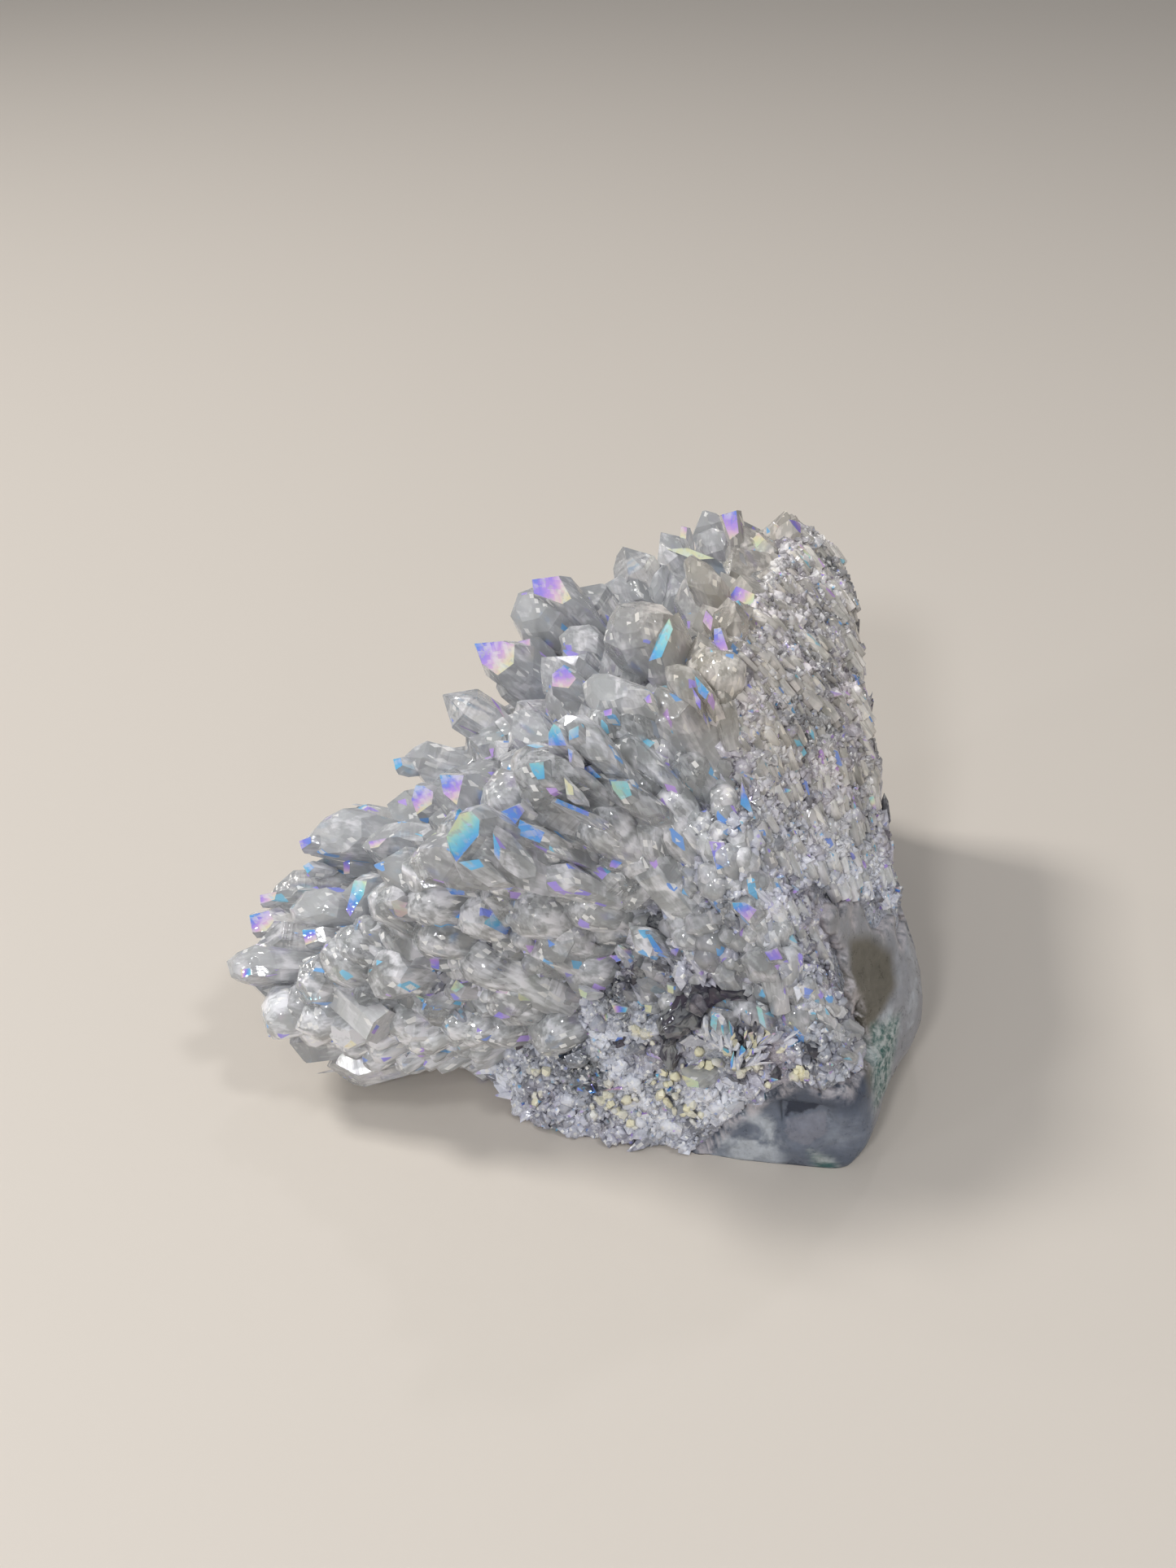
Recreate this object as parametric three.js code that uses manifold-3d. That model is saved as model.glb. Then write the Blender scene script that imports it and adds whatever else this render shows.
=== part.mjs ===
// A quartz cluster: a wedge broken from the wall of a geode, one solid of crystals, matrix and rind.
// It lies on a broken side. Millimetres, +Z up, +X to the right and -Y to the front.
import * as THREE from "three";
import { mergeVertices } from "three/addons/utils/BufferGeometryUtils.js";
import Module from "manifold-3d";

const wasm = await Module();
wasm.setup();

// ---- Driving sizes ----
const lumpCentre = new THREE.Vector3(6, -6, 16); // a point well inside, that every face is seen from
const lumpDetail = 8; // how finely the lump's skin is divided
const edgeSharpness = 40; // higher leaves harder edges between two broken faces
const growthLine = { x: 24, z: 12, follow: 0.75 }; // crystals fan out from this line, which runs along Y

// The flat breaks and natural sides of the lump: which way each faces, and how far out it lies.
const sides = [
  { name: "lower crystal side", facing: [-0.77, 0.12, 0.63], out: 26 },
  { name: "upper crystal side", facing: [-0.52, 0.28, 0.81], out: 28.6 },
  { name: "front break", facing: [-0.17, -0.98, 0.06], out: 25.8 },
  { name: "front shoulder", facing: [-0.1, -0.75, 0.65], out: 42 },
  { name: "right slope", facing: [0.72, -0.1, 0.69], out: 44.5 },
  { name: "right wall", facing: [0.985, 0, 0.17], out: 34.9 },
  { name: "back right corner", facing: [0.6, 0.79, 0.1], out: 40.5 },
  { name: "back wall", facing: [0.05, 0.99, 0.1], out: 28.5 },
  { name: "back left break", facing: [-0.6, 0.77, -0.2], out: 2 },
  { name: "left underside", facing: [-0.55, -0.1, -0.83], out: 8.2 },
  { name: "rind facet", facing: [0.8, -0.45, 0.4], out: 37.9 },
  { name: "rind underside", facing: [0.85, -0.3, -0.43], out: 32 },
  { name: "resting side", facing: [0, 0, -1], out: 1.2 },
];

// Places where the surface sinks in: the sugary groove down the front, its notch, and small hollows.
const groove = {
  path: [
    [10.5, -19, 46],
    [10.5, -27, 38],
    [5, -26, 26],
    [-9, -22, 4],
  ],
  width: 4.2,
  depth: 3.2,
};
const hollows = [
  { at: [7, -28, 31], radius: 3, depth: 2.5 },
  { at: [2.5, -27, 23], radius: 3, depth: 2.5 },
  { at: [-12, -24, 2], radius: 6, depth: 5 },
  { at: [14, -22, 41], radius: 2.5, depth: 2 },
  { at: [17, -29, 20], radius: 4, depth: 1.2 },
  { at: [35, -14, 10], radius: 8, depth: -2 },
  { at: [20, -28, 6], radius: 2.5, depth: 1 },
];
// The smooth agate fills two bands that run along Y, each behind its own lines seen from the front.
// A line is the way it faces in X and Z, and how far out it lies.
const rindBands = [
  [
    { facing: [-0.944, -0.33], out: -30.6 },
    { facing: [0, 1], out: 23 },
  ],
  [
    { facing: [-0.768, 0.64], out: -9.1 },
    { facing: [0, 1], out: 9.5 },
  ],
];
const rindFade = 2; // how wide the change from rough break to smooth rind is
const roughness = { broken: 0.9, rind: 0.12 }; // how far the skin is thrown up and down

// Crystals that set the outline and the front ridge: their tips, and how wide they are.
const leadingCrystals = [
  [4.5, -9, 50, 6.5],
  [11, 3, 48.5, 6.5],
  [-2.5, -21, 46, 6.5],
  [-5, -24.5, 43, 6.5],
  [-9.5, -27, 39, 6],
  [-14, -26.5, 36, 5],
  [7, -17.5, 48, 5.5],
  [2, -16, 46.5, 5],
  [-3.5, -5, 43, 5],
  [-9, 3.5, 38.5, 5.5],
  [-5.5, 10.5, 41, 6],
  [-0.5, 11, 42.5, 5],
  [4.5, 15, 44.5, 5],
  [8, 18.5, 44.5, 5.5],
  [14, 26.5, 44, 5],
  [19, 25, 43.5, 4.5],
  [-13.5, 1, 35, 5],
  [-18, -1.5, 29, 4.5],
  [-14.5, -10, 32, 5],
  [-11.5, -13, 35, 5],
  [-20, -7, 27, 5],
  [-25.5, -7, 24.5, 5.5],
  [-21.5, -13, 26, 5],
  [-28.5, -10.5, 20.5, 5],
  [-23, -16.5, 23.5, 6],
  [-31.5, -11.5, 18.5, 5],
  [-27.5, -15, 18.5, 5.5],
  [-34.5, -16, 13, 6],
  [-32.5, -15.5, 15.5, 5],
  [-28.5, -18, 13.5, 6.5],
  [-31, -18, 9, 5.5],
  [-29.5, -20, 6, 5],
  [-26, -21, 3, 5],
  [-18.5, -21.5, 22, 6],
  [-20.5, -22, 15, 6.5],
  [-19, -21.5, 7, 5.5],
];
// Smaller crystals that fill the crystal side, from the widest to the narrowest.
const drusyFill = [
  { width: 5.4, gap: 5.6, rise: 5 },
  { width: 3.8, gap: 4.7, rise: 3.4 },
];
// Broken crystals seen along their length, on the breaks.
const brokenFill = [{ width: 4.4, gap: 6.2, length: 11 }];
const candidates = 2600; // places tried for the fill
const lowestFill = 3; // no fill starts below this height
const steepestFill = -0.5; // nor where the surface faces further down than this

// How the three kinds of crystal stand: lean is a random tilt, and the spreads are shares of the size.
const leadingHabit = { lean: 0.12, lengthInWidths: 2.6 };
const drusyHabit = { lean: 0.22, outward: 0.5, widthSpread: 0.15, riseSpread: 0.25 };
const brokenHabit = { lean: 0.1, outward: 0.14, sunk: 0.05, widthSpread: 0.2, lengthToLine: 0.6 };
// One crystal's form, in its own widths.
const crystalForm = { tipLean: 0.16, shoulders: [0.41, 0.63], sideSpread: 0.12, rootShare: 0.85 };
const drusyFacing = [-0.62, 0.33, 0.71]; // the way the crystal side looks
const drusyLimit = 0.42; // a face turned this far towards it carries whole crystals

// ---- Small helpers ----
// A repeatable number from 0 to 1 for each place in a count.
function chance(index, channel) {
  const wave = Math.sin(index * 12.9898 + channel * 78.233) * 43758.5453;
  return wave - Math.floor(wave);
}

function spread(index, channel) {
  return 2 * chance(index, channel) - 1;
}

function vector(list) {
  return new THREE.Vector3(list[0], list[1], list[2]);
}

function distanceToPath(point, path) {
  let nearest = Infinity;
  for (let i = 0; i + 1 < path.length; i++) {
    const stretch = new THREE.Line3(vector(path[i]), vector(path[i + 1]));
    const foot = stretch.closestPointToPoint(point, true, new THREE.Vector3());
    nearest = Math.min(nearest, foot.distanceTo(point));
  }
  return nearest;
}

// Rolling and choppy relief, about -1 to 1.
function relief(p) {
  const broad = Math.sin(0.55 * p.x + 0.8 * p.z + 1.1) * Math.sin(0.7 * p.y - 0.35 * p.x);
  const choppy = Math.sin(1.6 * p.x - 1.1 * p.y + 0.4) * Math.sin(1.4 * p.z + 0.9 * p.y + 2.2);
  return 0.55 * broad + 0.45 * choppy;
}

// 1 on the smooth rind, 0 on the breaks.
function rindShare(p) {
  const depths = rindBands.map((lines) =>
    Math.min(...lines.map((line) => line.out - line.facing[0] * p.x - line.facing[1] * p.z)),
  );
  return THREE.MathUtils.clamp(Math.max(...depths) / rindFade + 0.5, 0, 1);
}

// ---- The lump ----
const faces = sides.map((side) => {
  const facing = vector(side.facing).normalize();
  return { facing, out: side.out - facing.dot(lumpCentre) };
});

// How far the skin lies from the lump's centre, in one direction.
function reach(direction) {
  let sum = 0;
  for (const face of faces) {
    const towards = face.facing.dot(direction);
    if (towards > 0.001) sum += Math.pow(towards / face.out, edgeSharpness);
  }
  const plain = Math.pow(sum, -1 / edgeSharpness);
  const p = direction.clone().multiplyScalar(plain).add(lumpCentre);
  let sunk = groove.depth * Math.exp(-Math.pow(distanceToPath(p, groove.path) / groove.width, 2));
  for (const hollow of hollows) {
    const away = p.distanceTo(vector(hollow.at)) / hollow.radius;
    sunk += hollow.depth * Math.exp(-away * away);
  }
  const share = rindShare(p);
  const rough = roughness.broken * (1 - share) + roughness.rind * share;
  return plain - sunk + rough * relief(p);
}

function skinPoint(direction) {
  return direction.clone().multiplyScalar(reach(direction)).add(lumpCentre);
}

// The way the plain face under a point looks.
function outward(direction) {
  const sum = new THREE.Vector3();
  for (const face of faces) {
    const towards = face.facing.dot(direction);
    if (towards > 0.001) {
      sum.addScaledVector(face.facing, Math.pow(towards / face.out, edgeSharpness));
    }
  }
  return sum.normalize();
}

const drusyWay = vector(drusyFacing).normalize();

function solidFrom(geometry) {
  geometry.deleteAttribute("normal");
  geometry.deleteAttribute("uv");
  const merged = mergeVertices(geometry, 1e-3);
  return new wasm.Manifold(
    new wasm.Mesh({
      numProp: 3,
      vertProperties: new Float32Array(merged.attributes.position.array),
      triVerts: new Uint32Array(merged.index.array),
    }),
  );
}

function lump() {
  const geometry = new THREE.IcosahedronGeometry(1, lumpDetail);
  const position = geometry.attributes.position;
  const direction = new THREE.Vector3();
  for (let i = 0; i < position.count; i++) {
    direction.fromBufferAttribute(position, i).normalize();
    const p = skinPoint(direction);
    position.setXYZ(i, p.x, p.y, p.z);
  }
  return solidFrom(geometry);
}

// ---- Crystals ----
// The way a crystal grows, away from the growth line.
function growth(tip) {
  const away = new THREE.Vector3(
    tip.x - growthLine.x,
    (1 - growthLine.follow) * (tip.y - lumpCentre.y),
    tip.z - growthLine.z,
  );
  return away.normalize();
}

// A six-sided crystal with its tip at the origin and its body down the Z axis.
function crystalGeometry(width, length, index) {
  const points = [];
  const tipLean = crystalForm.tipLean * width;
  points.push(tipLean * spread(index, 1), tipLean * spread(index, 2), 0);
  for (const row of ["shoulder", "root"]) {
    for (let side = 0; side < 6; side++) {
      const turn = (side * Math.PI) / 3;
      const full = (width / 2) * (1 + crystalForm.sideSpread * spread(index, 3 + side));
      const radius = row === "shoulder" ? full : full * crystalForm.rootShare;
      const down = row === "shoulder" ? crystalForm.shoulders[side % 2] * width : length;
      points.push(radius * Math.cos(turn), radius * Math.sin(turn), -down);
    }
  }
  const triangles = [];
  for (let side = 0; side < 6; side++) {
    const next = (side + 1) % 6;
    triangles.push(0, 1 + side, 1 + next);
    triangles.push(1 + side, 7 + side, 7 + next, 1 + side, 7 + next, 1 + next);
  }
  for (let side = 1; side < 5; side++) triangles.push(7, 7 + side + 1, 7 + side);
  const geometry = new THREE.BufferGeometry();
  geometry.setAttribute("position", new THREE.Float32BufferAttribute(points, 3));
  geometry.setIndex(triangles);
  return geometry;
}

function crystal(tip, axis, width, length, index) {
  const turn = new THREE.Quaternion().setFromUnitVectors(new THREE.Vector3(0, 0, 1), axis);
  const twist = new THREE.Quaternion();
  twist.setFromAxisAngle(new THREE.Vector3(0, 0, 1), chance(index, 12) * Math.PI);
  const geometry = crystalGeometry(width, length, index);
  geometry.applyQuaternion(turn.multiply(twist));
  geometry.translate(tip.x, tip.y, tip.z);
  return solidFrom(geometry);
}

function tilted(axis, amount, index) {
  const tilt = new THREE.Vector3(spread(index, 20), spread(index, 21), spread(index, 22));
  return axis.clone().addScaledVector(tilt, amount).normalize();
}

// Leans a crystal until its root end is well inside the lump.
function rooted(tip, axis, length, width) {
  const inward = tip.clone().sub(lumpCentre).normalize();
  for (let lean = 0; lean <= 1; lean += 0.1) {
    const leaned = axis.clone().lerp(inward, lean).normalize();
    const root = tip.clone().addScaledVector(leaned, -length).sub(lumpCentre);
    if (root.length() + 0.5 * width < reach(root.clone().normalize())) return leaned;
  }
  return inward;
}

// Directions spread evenly over a ball, in a golden spiral.
function spiralDirection(index) {
  const height = 1 - (2 * (index + 0.5)) / candidates;
  const round = Math.sqrt(1 - height * height);
  const turn = index * Math.PI * (3 - Math.sqrt(5));
  return new THREE.Vector3(round * Math.cos(turn), round * Math.sin(turn), height);
}

function hasRoom(place, width, taken) {
  return taken.every((other) => place.distanceTo(other.place) > (width + other.gap) / 2);
}

// Every crystal of the cluster: where its tip is, its axis, its width and its length.
function allCrystals() {
  const placed = [];
  const taken = [];
  leadingCrystals.forEach(([x, y, z, width], index) => {
    const tip = new THREE.Vector3(x, y, z);
    const length = leadingHabit.lengthInWidths * width;
    const axis = rooted(tip, tilted(growth(tip), leadingHabit.lean, index), length, width);
    placed.push({ tip, axis, width, length, index });
    taken.push({ place: tip.clone().addScaledVector(axis, -width), gap: width });
  });
  let index = leadingCrystals.length;
  for (const size of drusyFill) {
    for (let i = 0; i < candidates; i++) {
      const direction = spiralDirection(i);
      const place = skinPoint(direction);
      const facing = outward(direction);
      const drusy = facing.dot(drusyWay) > drusyLimit && rindShare(place) === 0;
      if (!drusy || place.z < lowestFill || !hasRoom(place, size.gap, taken)) continue;
      index += 1;
      const straight = growth(place).addScaledVector(facing, drusyHabit.outward).normalize();
      const axis = tilted(straight, drusyHabit.lean, index);
      const width = size.width * (1 + drusyHabit.widthSpread * spread(index, 30));
      const rise = size.rise * (1 + drusyHabit.riseSpread * spread(index, 31));
      const tip = place.clone().addScaledVector(axis, rise);
      placed.push({ tip, axis, width, length: rise + width, index });
      taken.push({ place, gap: size.gap });
    }
  }
  for (const size of brokenFill) {
    for (let i = 0; i < candidates; i++) {
      const direction = spiralDirection(i);
      const place = skinPoint(direction);
      const facing = outward(direction);
      const drusy = facing.dot(drusyWay) > drusyLimit;
      if (drusy || rindShare(place) > 0 || place.z < lowestFill) continue;
      if (facing.z < steepestFill || !hasRoom(place, size.gap, taken)) continue;
      index += 1;
      const along = growth(place);
      along.addScaledVector(facing, brokenHabit.outward - along.dot(facing)).normalize();
      const width = size.width * (1 + brokenHabit.widthSpread * spread(index, 30));
      const tip = place.clone().addScaledVector(facing, -brokenHabit.sunk * width);
      const toLine = Math.hypot(tip.x - growthLine.x, tip.z - growthLine.z);
      const length = Math.min(size.length, brokenHabit.lengthToLine * toLine);
      const axis = rooted(tip, tilted(along, brokenHabit.lean, index), length, width / 2);
      placed.push({ tip, axis, width, length, index });
      taken.push({ place, gap: size.gap });
    }
  }
  return placed;
}

// ---- The whole piece ----
function restingBlock() {
  const block = new THREE.BoxGeometry(200, 200, 100);
  block.translate(0, 0, -50);
  return solidFrom(block);
}

// The outer skin alone, with any pocket shut in between two crystals filled up.
function withoutPockets(solid) {
  return solid.decompose().reduce((best, next) => (next.volume() > best.volume() ? next : best));
}

function cluster() {
  let solid = lump();
  for (const c of allCrystals()) {
    solid = solid.add(crystal(c.tip, c.axis, c.width, c.length, c.index));
  }
  solid = withoutPockets(solid.subtract(restingBlock()));
  const mesh = solid.getMesh();
  const geometry = new THREE.BufferGeometry();
  geometry.setAttribute("position", new THREE.BufferAttribute(mesh.vertProperties, 3));
  geometry.setIndex(new THREE.BufferAttribute(mesh.triVerts, 1));
  geometry.computeBoundingBox();
  const centre = geometry.boundingBox.getCenter(new THREE.Vector3());
  geometry.translate(-centre.x, -centre.y, 0);
  const flat = geometry.toNonIndexed();
  flat.computeVertexNormals();
  return flat;
}

const quartz = new THREE.MeshStandardMaterial({
  color: 0xcfd2d8,
  roughness: 0.25,
  metalness: 0,
  flatShading: true,
});
const quartzCluster = new THREE.Mesh(cluster(), quartz);
quartzCluster.name = "quartz_cluster";

const part = new THREE.Group();
part.add(quartzCluster);
export default part;
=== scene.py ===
import math

import bpy
import numpy as np
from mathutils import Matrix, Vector


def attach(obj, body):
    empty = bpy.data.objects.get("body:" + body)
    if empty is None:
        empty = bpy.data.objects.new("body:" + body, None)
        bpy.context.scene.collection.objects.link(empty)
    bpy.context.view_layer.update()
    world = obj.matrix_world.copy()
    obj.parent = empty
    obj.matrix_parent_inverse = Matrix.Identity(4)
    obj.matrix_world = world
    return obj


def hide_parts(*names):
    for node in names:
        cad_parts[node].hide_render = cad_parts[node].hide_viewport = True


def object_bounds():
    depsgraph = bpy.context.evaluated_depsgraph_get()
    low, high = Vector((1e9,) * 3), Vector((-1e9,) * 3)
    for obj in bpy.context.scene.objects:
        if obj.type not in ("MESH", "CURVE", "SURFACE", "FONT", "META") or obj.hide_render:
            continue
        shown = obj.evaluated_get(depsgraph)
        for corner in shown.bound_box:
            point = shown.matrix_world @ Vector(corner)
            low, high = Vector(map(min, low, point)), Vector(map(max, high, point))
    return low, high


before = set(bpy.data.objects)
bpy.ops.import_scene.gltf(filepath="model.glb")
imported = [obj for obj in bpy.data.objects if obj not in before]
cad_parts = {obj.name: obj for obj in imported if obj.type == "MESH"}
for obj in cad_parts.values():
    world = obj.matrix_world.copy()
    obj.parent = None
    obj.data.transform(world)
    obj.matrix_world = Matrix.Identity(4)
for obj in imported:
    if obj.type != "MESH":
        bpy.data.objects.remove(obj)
cadLow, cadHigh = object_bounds()
print("frame loaded")

mm = 0.001
shiftToRow = np.array([-0.608, 0.176, 0.0])  # from the lump's own frame to the row frame, mm
boxLow = np.array(cadLow) / mm - shiftToRow
boxHigh = np.array(cadHigh) / mm - shiftToRow


# the lump, as in the solid: flat breaks, groove, hollows and rind bands, all in mm
lumpLook = {
    "centre": (6, -6, 16),
    "sharpness": 40,
    "rough": 0.9,
    "rindRough": 0.12,
    "rindFade": 2,
}
sides = {
    "lowerCrystalSide": ((-0.77, 0.12, 0.63), 26),
    "upperCrystalSide": ((-0.52, 0.28, 0.81), 28.6),
    "frontBreak": ((-0.17, -0.98, 0.06), 25.8),
    "frontShoulder": ((-0.1, -0.75, 0.65), 42),
    "rightSlope": ((0.72, -0.1, 0.69), 44.5),
    "rightWall": ((0.985, 0, 0.17), 34.9),
    "backRightCorner": ((0.6, 0.79, 0.1), 40.5),
    "backWall": ((0.05, 0.99, 0.1), 28.5),
    "backLeftBreak": ((-0.6, 0.77, -0.2), 2),
    "leftUnderside": ((-0.55, -0.1, -0.83), 8.2),
    "rindFacet": ((0.8, -0.45, 0.4), 37.9),
    "rindUnderside": ((0.85, -0.3, -0.43), 32),
    "restingSide": ((0, 0, -1), 1.2),
}
groove = {
    "path": [(10.5, -19, 46), (10.5, -27, 38), (5, -26, 26), (-9, -22, 4)],
    "width": 4.2,
    "depth": 3.2,
    "frost": 3.2,  # how far the sugar in it spreads
}
hollows = [
    {"at": (7, -28, 31), "radius": 3, "depth": 2.5},
    {"at": (2.5, -27, 23), "radius": 3, "depth": 2.5},
    {"at": (-12, -24, 2), "radius": 6, "depth": 5},
    {"at": (14, -22, 41), "radius": 2.5, "depth": 2},
    {"at": (17, -29, 20), "radius": 4, "depth": 1.2},
    {"at": (35, -14, 10), "radius": 8, "depth": -2},
    {"at": (20, -28, 6), "radius": 2.5, "depth": 1},
]
rindBands = [  # each band lies behind its lines, seen from the front: facing x, facing z, out
    [(-0.944, -0.33, -30.6), (0, 1, 23)],
    [(-0.768, 0.64, -9.1), (0, 1, 9.5)],
]
shownBands = [  # where the rind shows: a little wider than where the solid turns smooth
    [(-0.944, -0.33, -29.9), (0.70, 0.714, 34.5)],
    [(-0.768, 0.64, -9.1), (0, 1, 10)],
]
growthLine = {"x": 24, "z": 12, "follow": 0.75}


def unit(v):
    return v / np.linalg.norm(v, axis=-1, keepdims=True)


def chance(index, channel):
    wave = np.sin(index * 12.9898 + channel * 78.233) * 43758.5453
    return wave - np.floor(wave)


def spread(index, channel):
    return 2 * chance(index, channel) - 1


centre = np.array(lumpLook["centre"], float)
facings = unit(np.array([side[0] for side in sides.values()], float))
outs = np.array([side[1] for side in sides.values()], float) - facings @ centre


def pathDistance(points, path):
    nearest = np.full(len(points), np.inf)
    for start, end in zip(path[:-1], path[1:]):
        start, end = np.array(start, float), np.array(end, float)
        along = end - start
        share = np.clip((points - start) @ along / (along @ along), 0, 1)
        foot = start + share[:, None] * along
        nearest = np.minimum(nearest, np.linalg.norm(points - foot, axis=1))
    return nearest


def relief(p):
    x, y, z = p[:, 0], p[:, 1], p[:, 2]
    broad = np.sin(0.55 * x + 0.8 * z + 1.1) * np.sin(0.7 * y - 0.35 * x)
    choppy = np.sin(1.6 * x - 1.1 * y + 0.4) * np.sin(1.4 * z + 0.9 * y + 2.2)
    return 0.55 * broad + 0.45 * choppy


def rindDepth(p, bands):
    # how far inside the nearer band a point lies, seen from the front
    depths = [[out - a * p[:, 0] - c * p[:, 2] for a, c, out in lines] for lines in bands]
    return np.max([np.min(lines, axis=0) for lines in depths], axis=0)


def rindShare(p, bands=rindBands):
    return np.clip(rindDepth(p, bands) / lumpLook["rindFade"] + 0.5, 0, 1)


def faceShares(directions):
    towards = directions @ facings.T
    return np.where(towards > 0.001, towards / outs, 0) ** lumpLook["sharpness"]


def reach(directions):
    plain = faceShares(directions).sum(1) ** (-1 / lumpLook["sharpness"])
    p = directions * plain[:, None] + centre
    sunk = groove["depth"] * np.exp(-(pathDistance(p, groove["path"]) / groove["width"]) ** 2)
    for hollow in hollows:
        away = np.linalg.norm(p - np.array(hollow["at"], float), axis=1) / hollow["radius"]
        sunk = sunk + hollow["depth"] * np.exp(-away * away)
    share = rindShare(p)
    rough = lumpLook["rough"] * (1 - share) + lumpLook["rindRough"] * share
    return plain - sunk + rough * relief(p)


def skinPoints(directions):
    return directions * reach(directions)[:, None] + centre


def outward(directions):
    return unit(faceShares(directions) @ facings)


def growth(tips):
    away = np.stack(
        [
            tips[:, 0] - growthLine["x"],
            (1 - growthLine["follow"]) * (tips[:, 1] - centre[1]),
            tips[:, 2] - growthLine["z"],
        ],
        axis=1,
    )
    return unit(away)


def spiral(count):
    index = np.arange(count)
    height = 1 - 2 * (index + 0.5) / count
    around = np.sqrt(1 - height * height)
    turn = index * math.pi * (3 - math.sqrt(5))
    return np.stack([around * np.cos(turn), around * np.sin(turn), height], axis=1)


# soft fields over the surface
def ripples(points, size, seed, waves=18):
    # smooth random swell, about -1 to 1, with hills roughly that size
    random = np.random.default_rng(seed)
    ways = unit(random.normal(size=(waves, 3)))
    pace = 2 * math.pi / (size * random.uniform(1.2, 3.0, waves))
    phase = random.uniform(0, 2 * math.pi, waves)
    total = np.sin(points @ (ways * pace[:, None]).T + phase).sum(1)
    return np.clip(total / math.sqrt(waves), -1.5, 1.5)


def nearSpots(points, marks):
    # 1 at a mark's middle, fading out at its radius
    share = np.zeros(len(points))
    for *place, radius in marks:
        away = np.linalg.norm(points - np.array(place, float), axis=1) / radius
        share = np.maximum(share, np.exp(-away ** 4))
    return share


spots = {  # x, y, z and radius, mm
    "smokyAndShadow": [
        (6.6, -24.6, 20.3, 2.3), (3.0, -25, 20.2, 2.0), (8, -24.2, 25.8, 1.9), (13.1, -22.6, 36.8, 1.4),
        # (-9.3, -21.3, 6.8) lies in the notch low on the left and is painted shadow; the others are smoky
        # quartz
        (13.6, -24.6, 34.6, 1.3), (10.2, -27.6, 16.2, 1.7), (-9.3, -21.3, 6.8, 2.6), (15.5, -28.2, 13, 1.4),
        (-6, -23, 9, 1.5), (22, -28.4, 14.5, 1.3), (4.5, -26.8, 12, 1.2), (19.5, -29.2, 10.6, 1.2),
    ],
    # places of painted warm glints: cream crystals that stand for glints of warm light
    "paintedGlints": [
        (2.5, -26.6, 4.8, 2.6), (5.5, -27.2, 4.6, 2.2), (12.1, -28.2, 11.2, 1.8), (-3.3, -23.6, 6.8, 1.6),
        (8.9, -28.6, 8, 2.2), (17.7, -29.2, 11.4, 1.4), (-5, -24, 11.5, 1.3), (6.5, -27, 14.8, 1.2),
        (21.5, -29.6, 12.6, 1.2), (11.5, -28.8, 5.2, 1.6),
    ],
    "teal": [
        (22.3, -27, 22.6, 1.5), (-0.9, -24.9, 20.6, 1.2), (24.4, -30.1, 3.4, 2.2),
        (20.5, -27.2, 24.2, 1.0),
    ],
}


def insideShare(p, outline, fade):
    # 1 inside an outline seen from the front, 0 outside, over a soft edge
    corners = np.array(outline, float)
    ends = np.roll(corners, -1, axis=0)
    x, z = p[:, 0], p[:, 2]
    nearest = np.full(len(p), np.inf)
    crossed = np.zeros(len(p), bool)
    for (ax, az), (bx, bz) in zip(corners, ends):
        along = np.array([bx - ax, bz - az])
        share = np.clip(((x - ax) * along[0] + (z - az) * along[1]) / (along @ along), 0, 1)
        nearest = np.minimum(nearest, np.hypot(x - ax - share * along[0], z - az - share * along[1]))
        if az != bz:
            crossed ^= ((az > z) != (bz > z)) & (x < (bx - ax) * (z - az) / (bz - az) + ax)
    return np.clip(np.where(crossed, nearest, -nearest) / fade + 0.5, 0, 1)


def grooveShare(p):
    return np.exp(-(pathDistance(p, groove["path"]) / groove["frost"]) ** 2)


lobe = {"x": -8, "z": 15, "fade": 4}  # the milky lobe lies to the left of that x and under that z
slopeWay = sides["rightSlope"][0]


def lobeShare(p):
    leftOf = np.clip((lobe["x"] - p[:, 0]) / lobe["fade"], 0, 1)
    return leftOf * np.clip((lobe["z"] - p[:, 2]) / lobe["fade"], 0, 1)


def slopeShare(looks):
    # 1 where the skin looks the way the slope does
    return np.clip((looks @ np.array(slopeWay) - 0.8) / 0.12, 0, 1)


# meshes
def makePiece(name, vertices, corners, sizes, material, pointValues, faceValues=None, cornerValues=None,
              smooth=False):
    mesh = bpy.data.meshes.new(name)
    placed = (np.asarray(vertices) + shiftToRow) * mm
    mesh.vertices.add(len(placed))
    mesh.vertices.foreach_set("co", placed.astype(np.float32).ravel())
    mesh.loops.add(len(corners))
    mesh.loops.foreach_set("vertex_index", np.asarray(corners, np.int32))
    mesh.polygons.add(len(sizes))
    starts = np.concatenate([[0], np.cumsum(sizes)[:-1]])
    mesh.polygons.foreach_set("loop_start", starts.astype(np.int32))
    mesh.update(calc_edges=True)
    for place, values in (("POINT", pointValues), ("FACE", faceValues), ("CORNER", cornerValues)):
        for key, numbers in (values or {}).items():
            numbers = np.asarray(numbers, np.float32)
            kind, slot = ("FLOAT_VECTOR", "vector") if numbers.ndim == 2 else ("FLOAT", "value")
            layer = mesh.attributes.new(key, kind, place)
            layer.data.foreach_set(slot, numbers.ravel())
    mesh.polygons.foreach_set("use_smooth", np.broadcast_to(smooth, (len(sizes),)).copy())
    mesh.materials.append(material)
    piece = bpy.data.objects.new(name, mesh)
    bpy.context.scene.collection.objects.link(piece)
    print(name, int(np.sum(np.asarray(sizes) - 2)), "triangles")
    return piece


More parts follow.
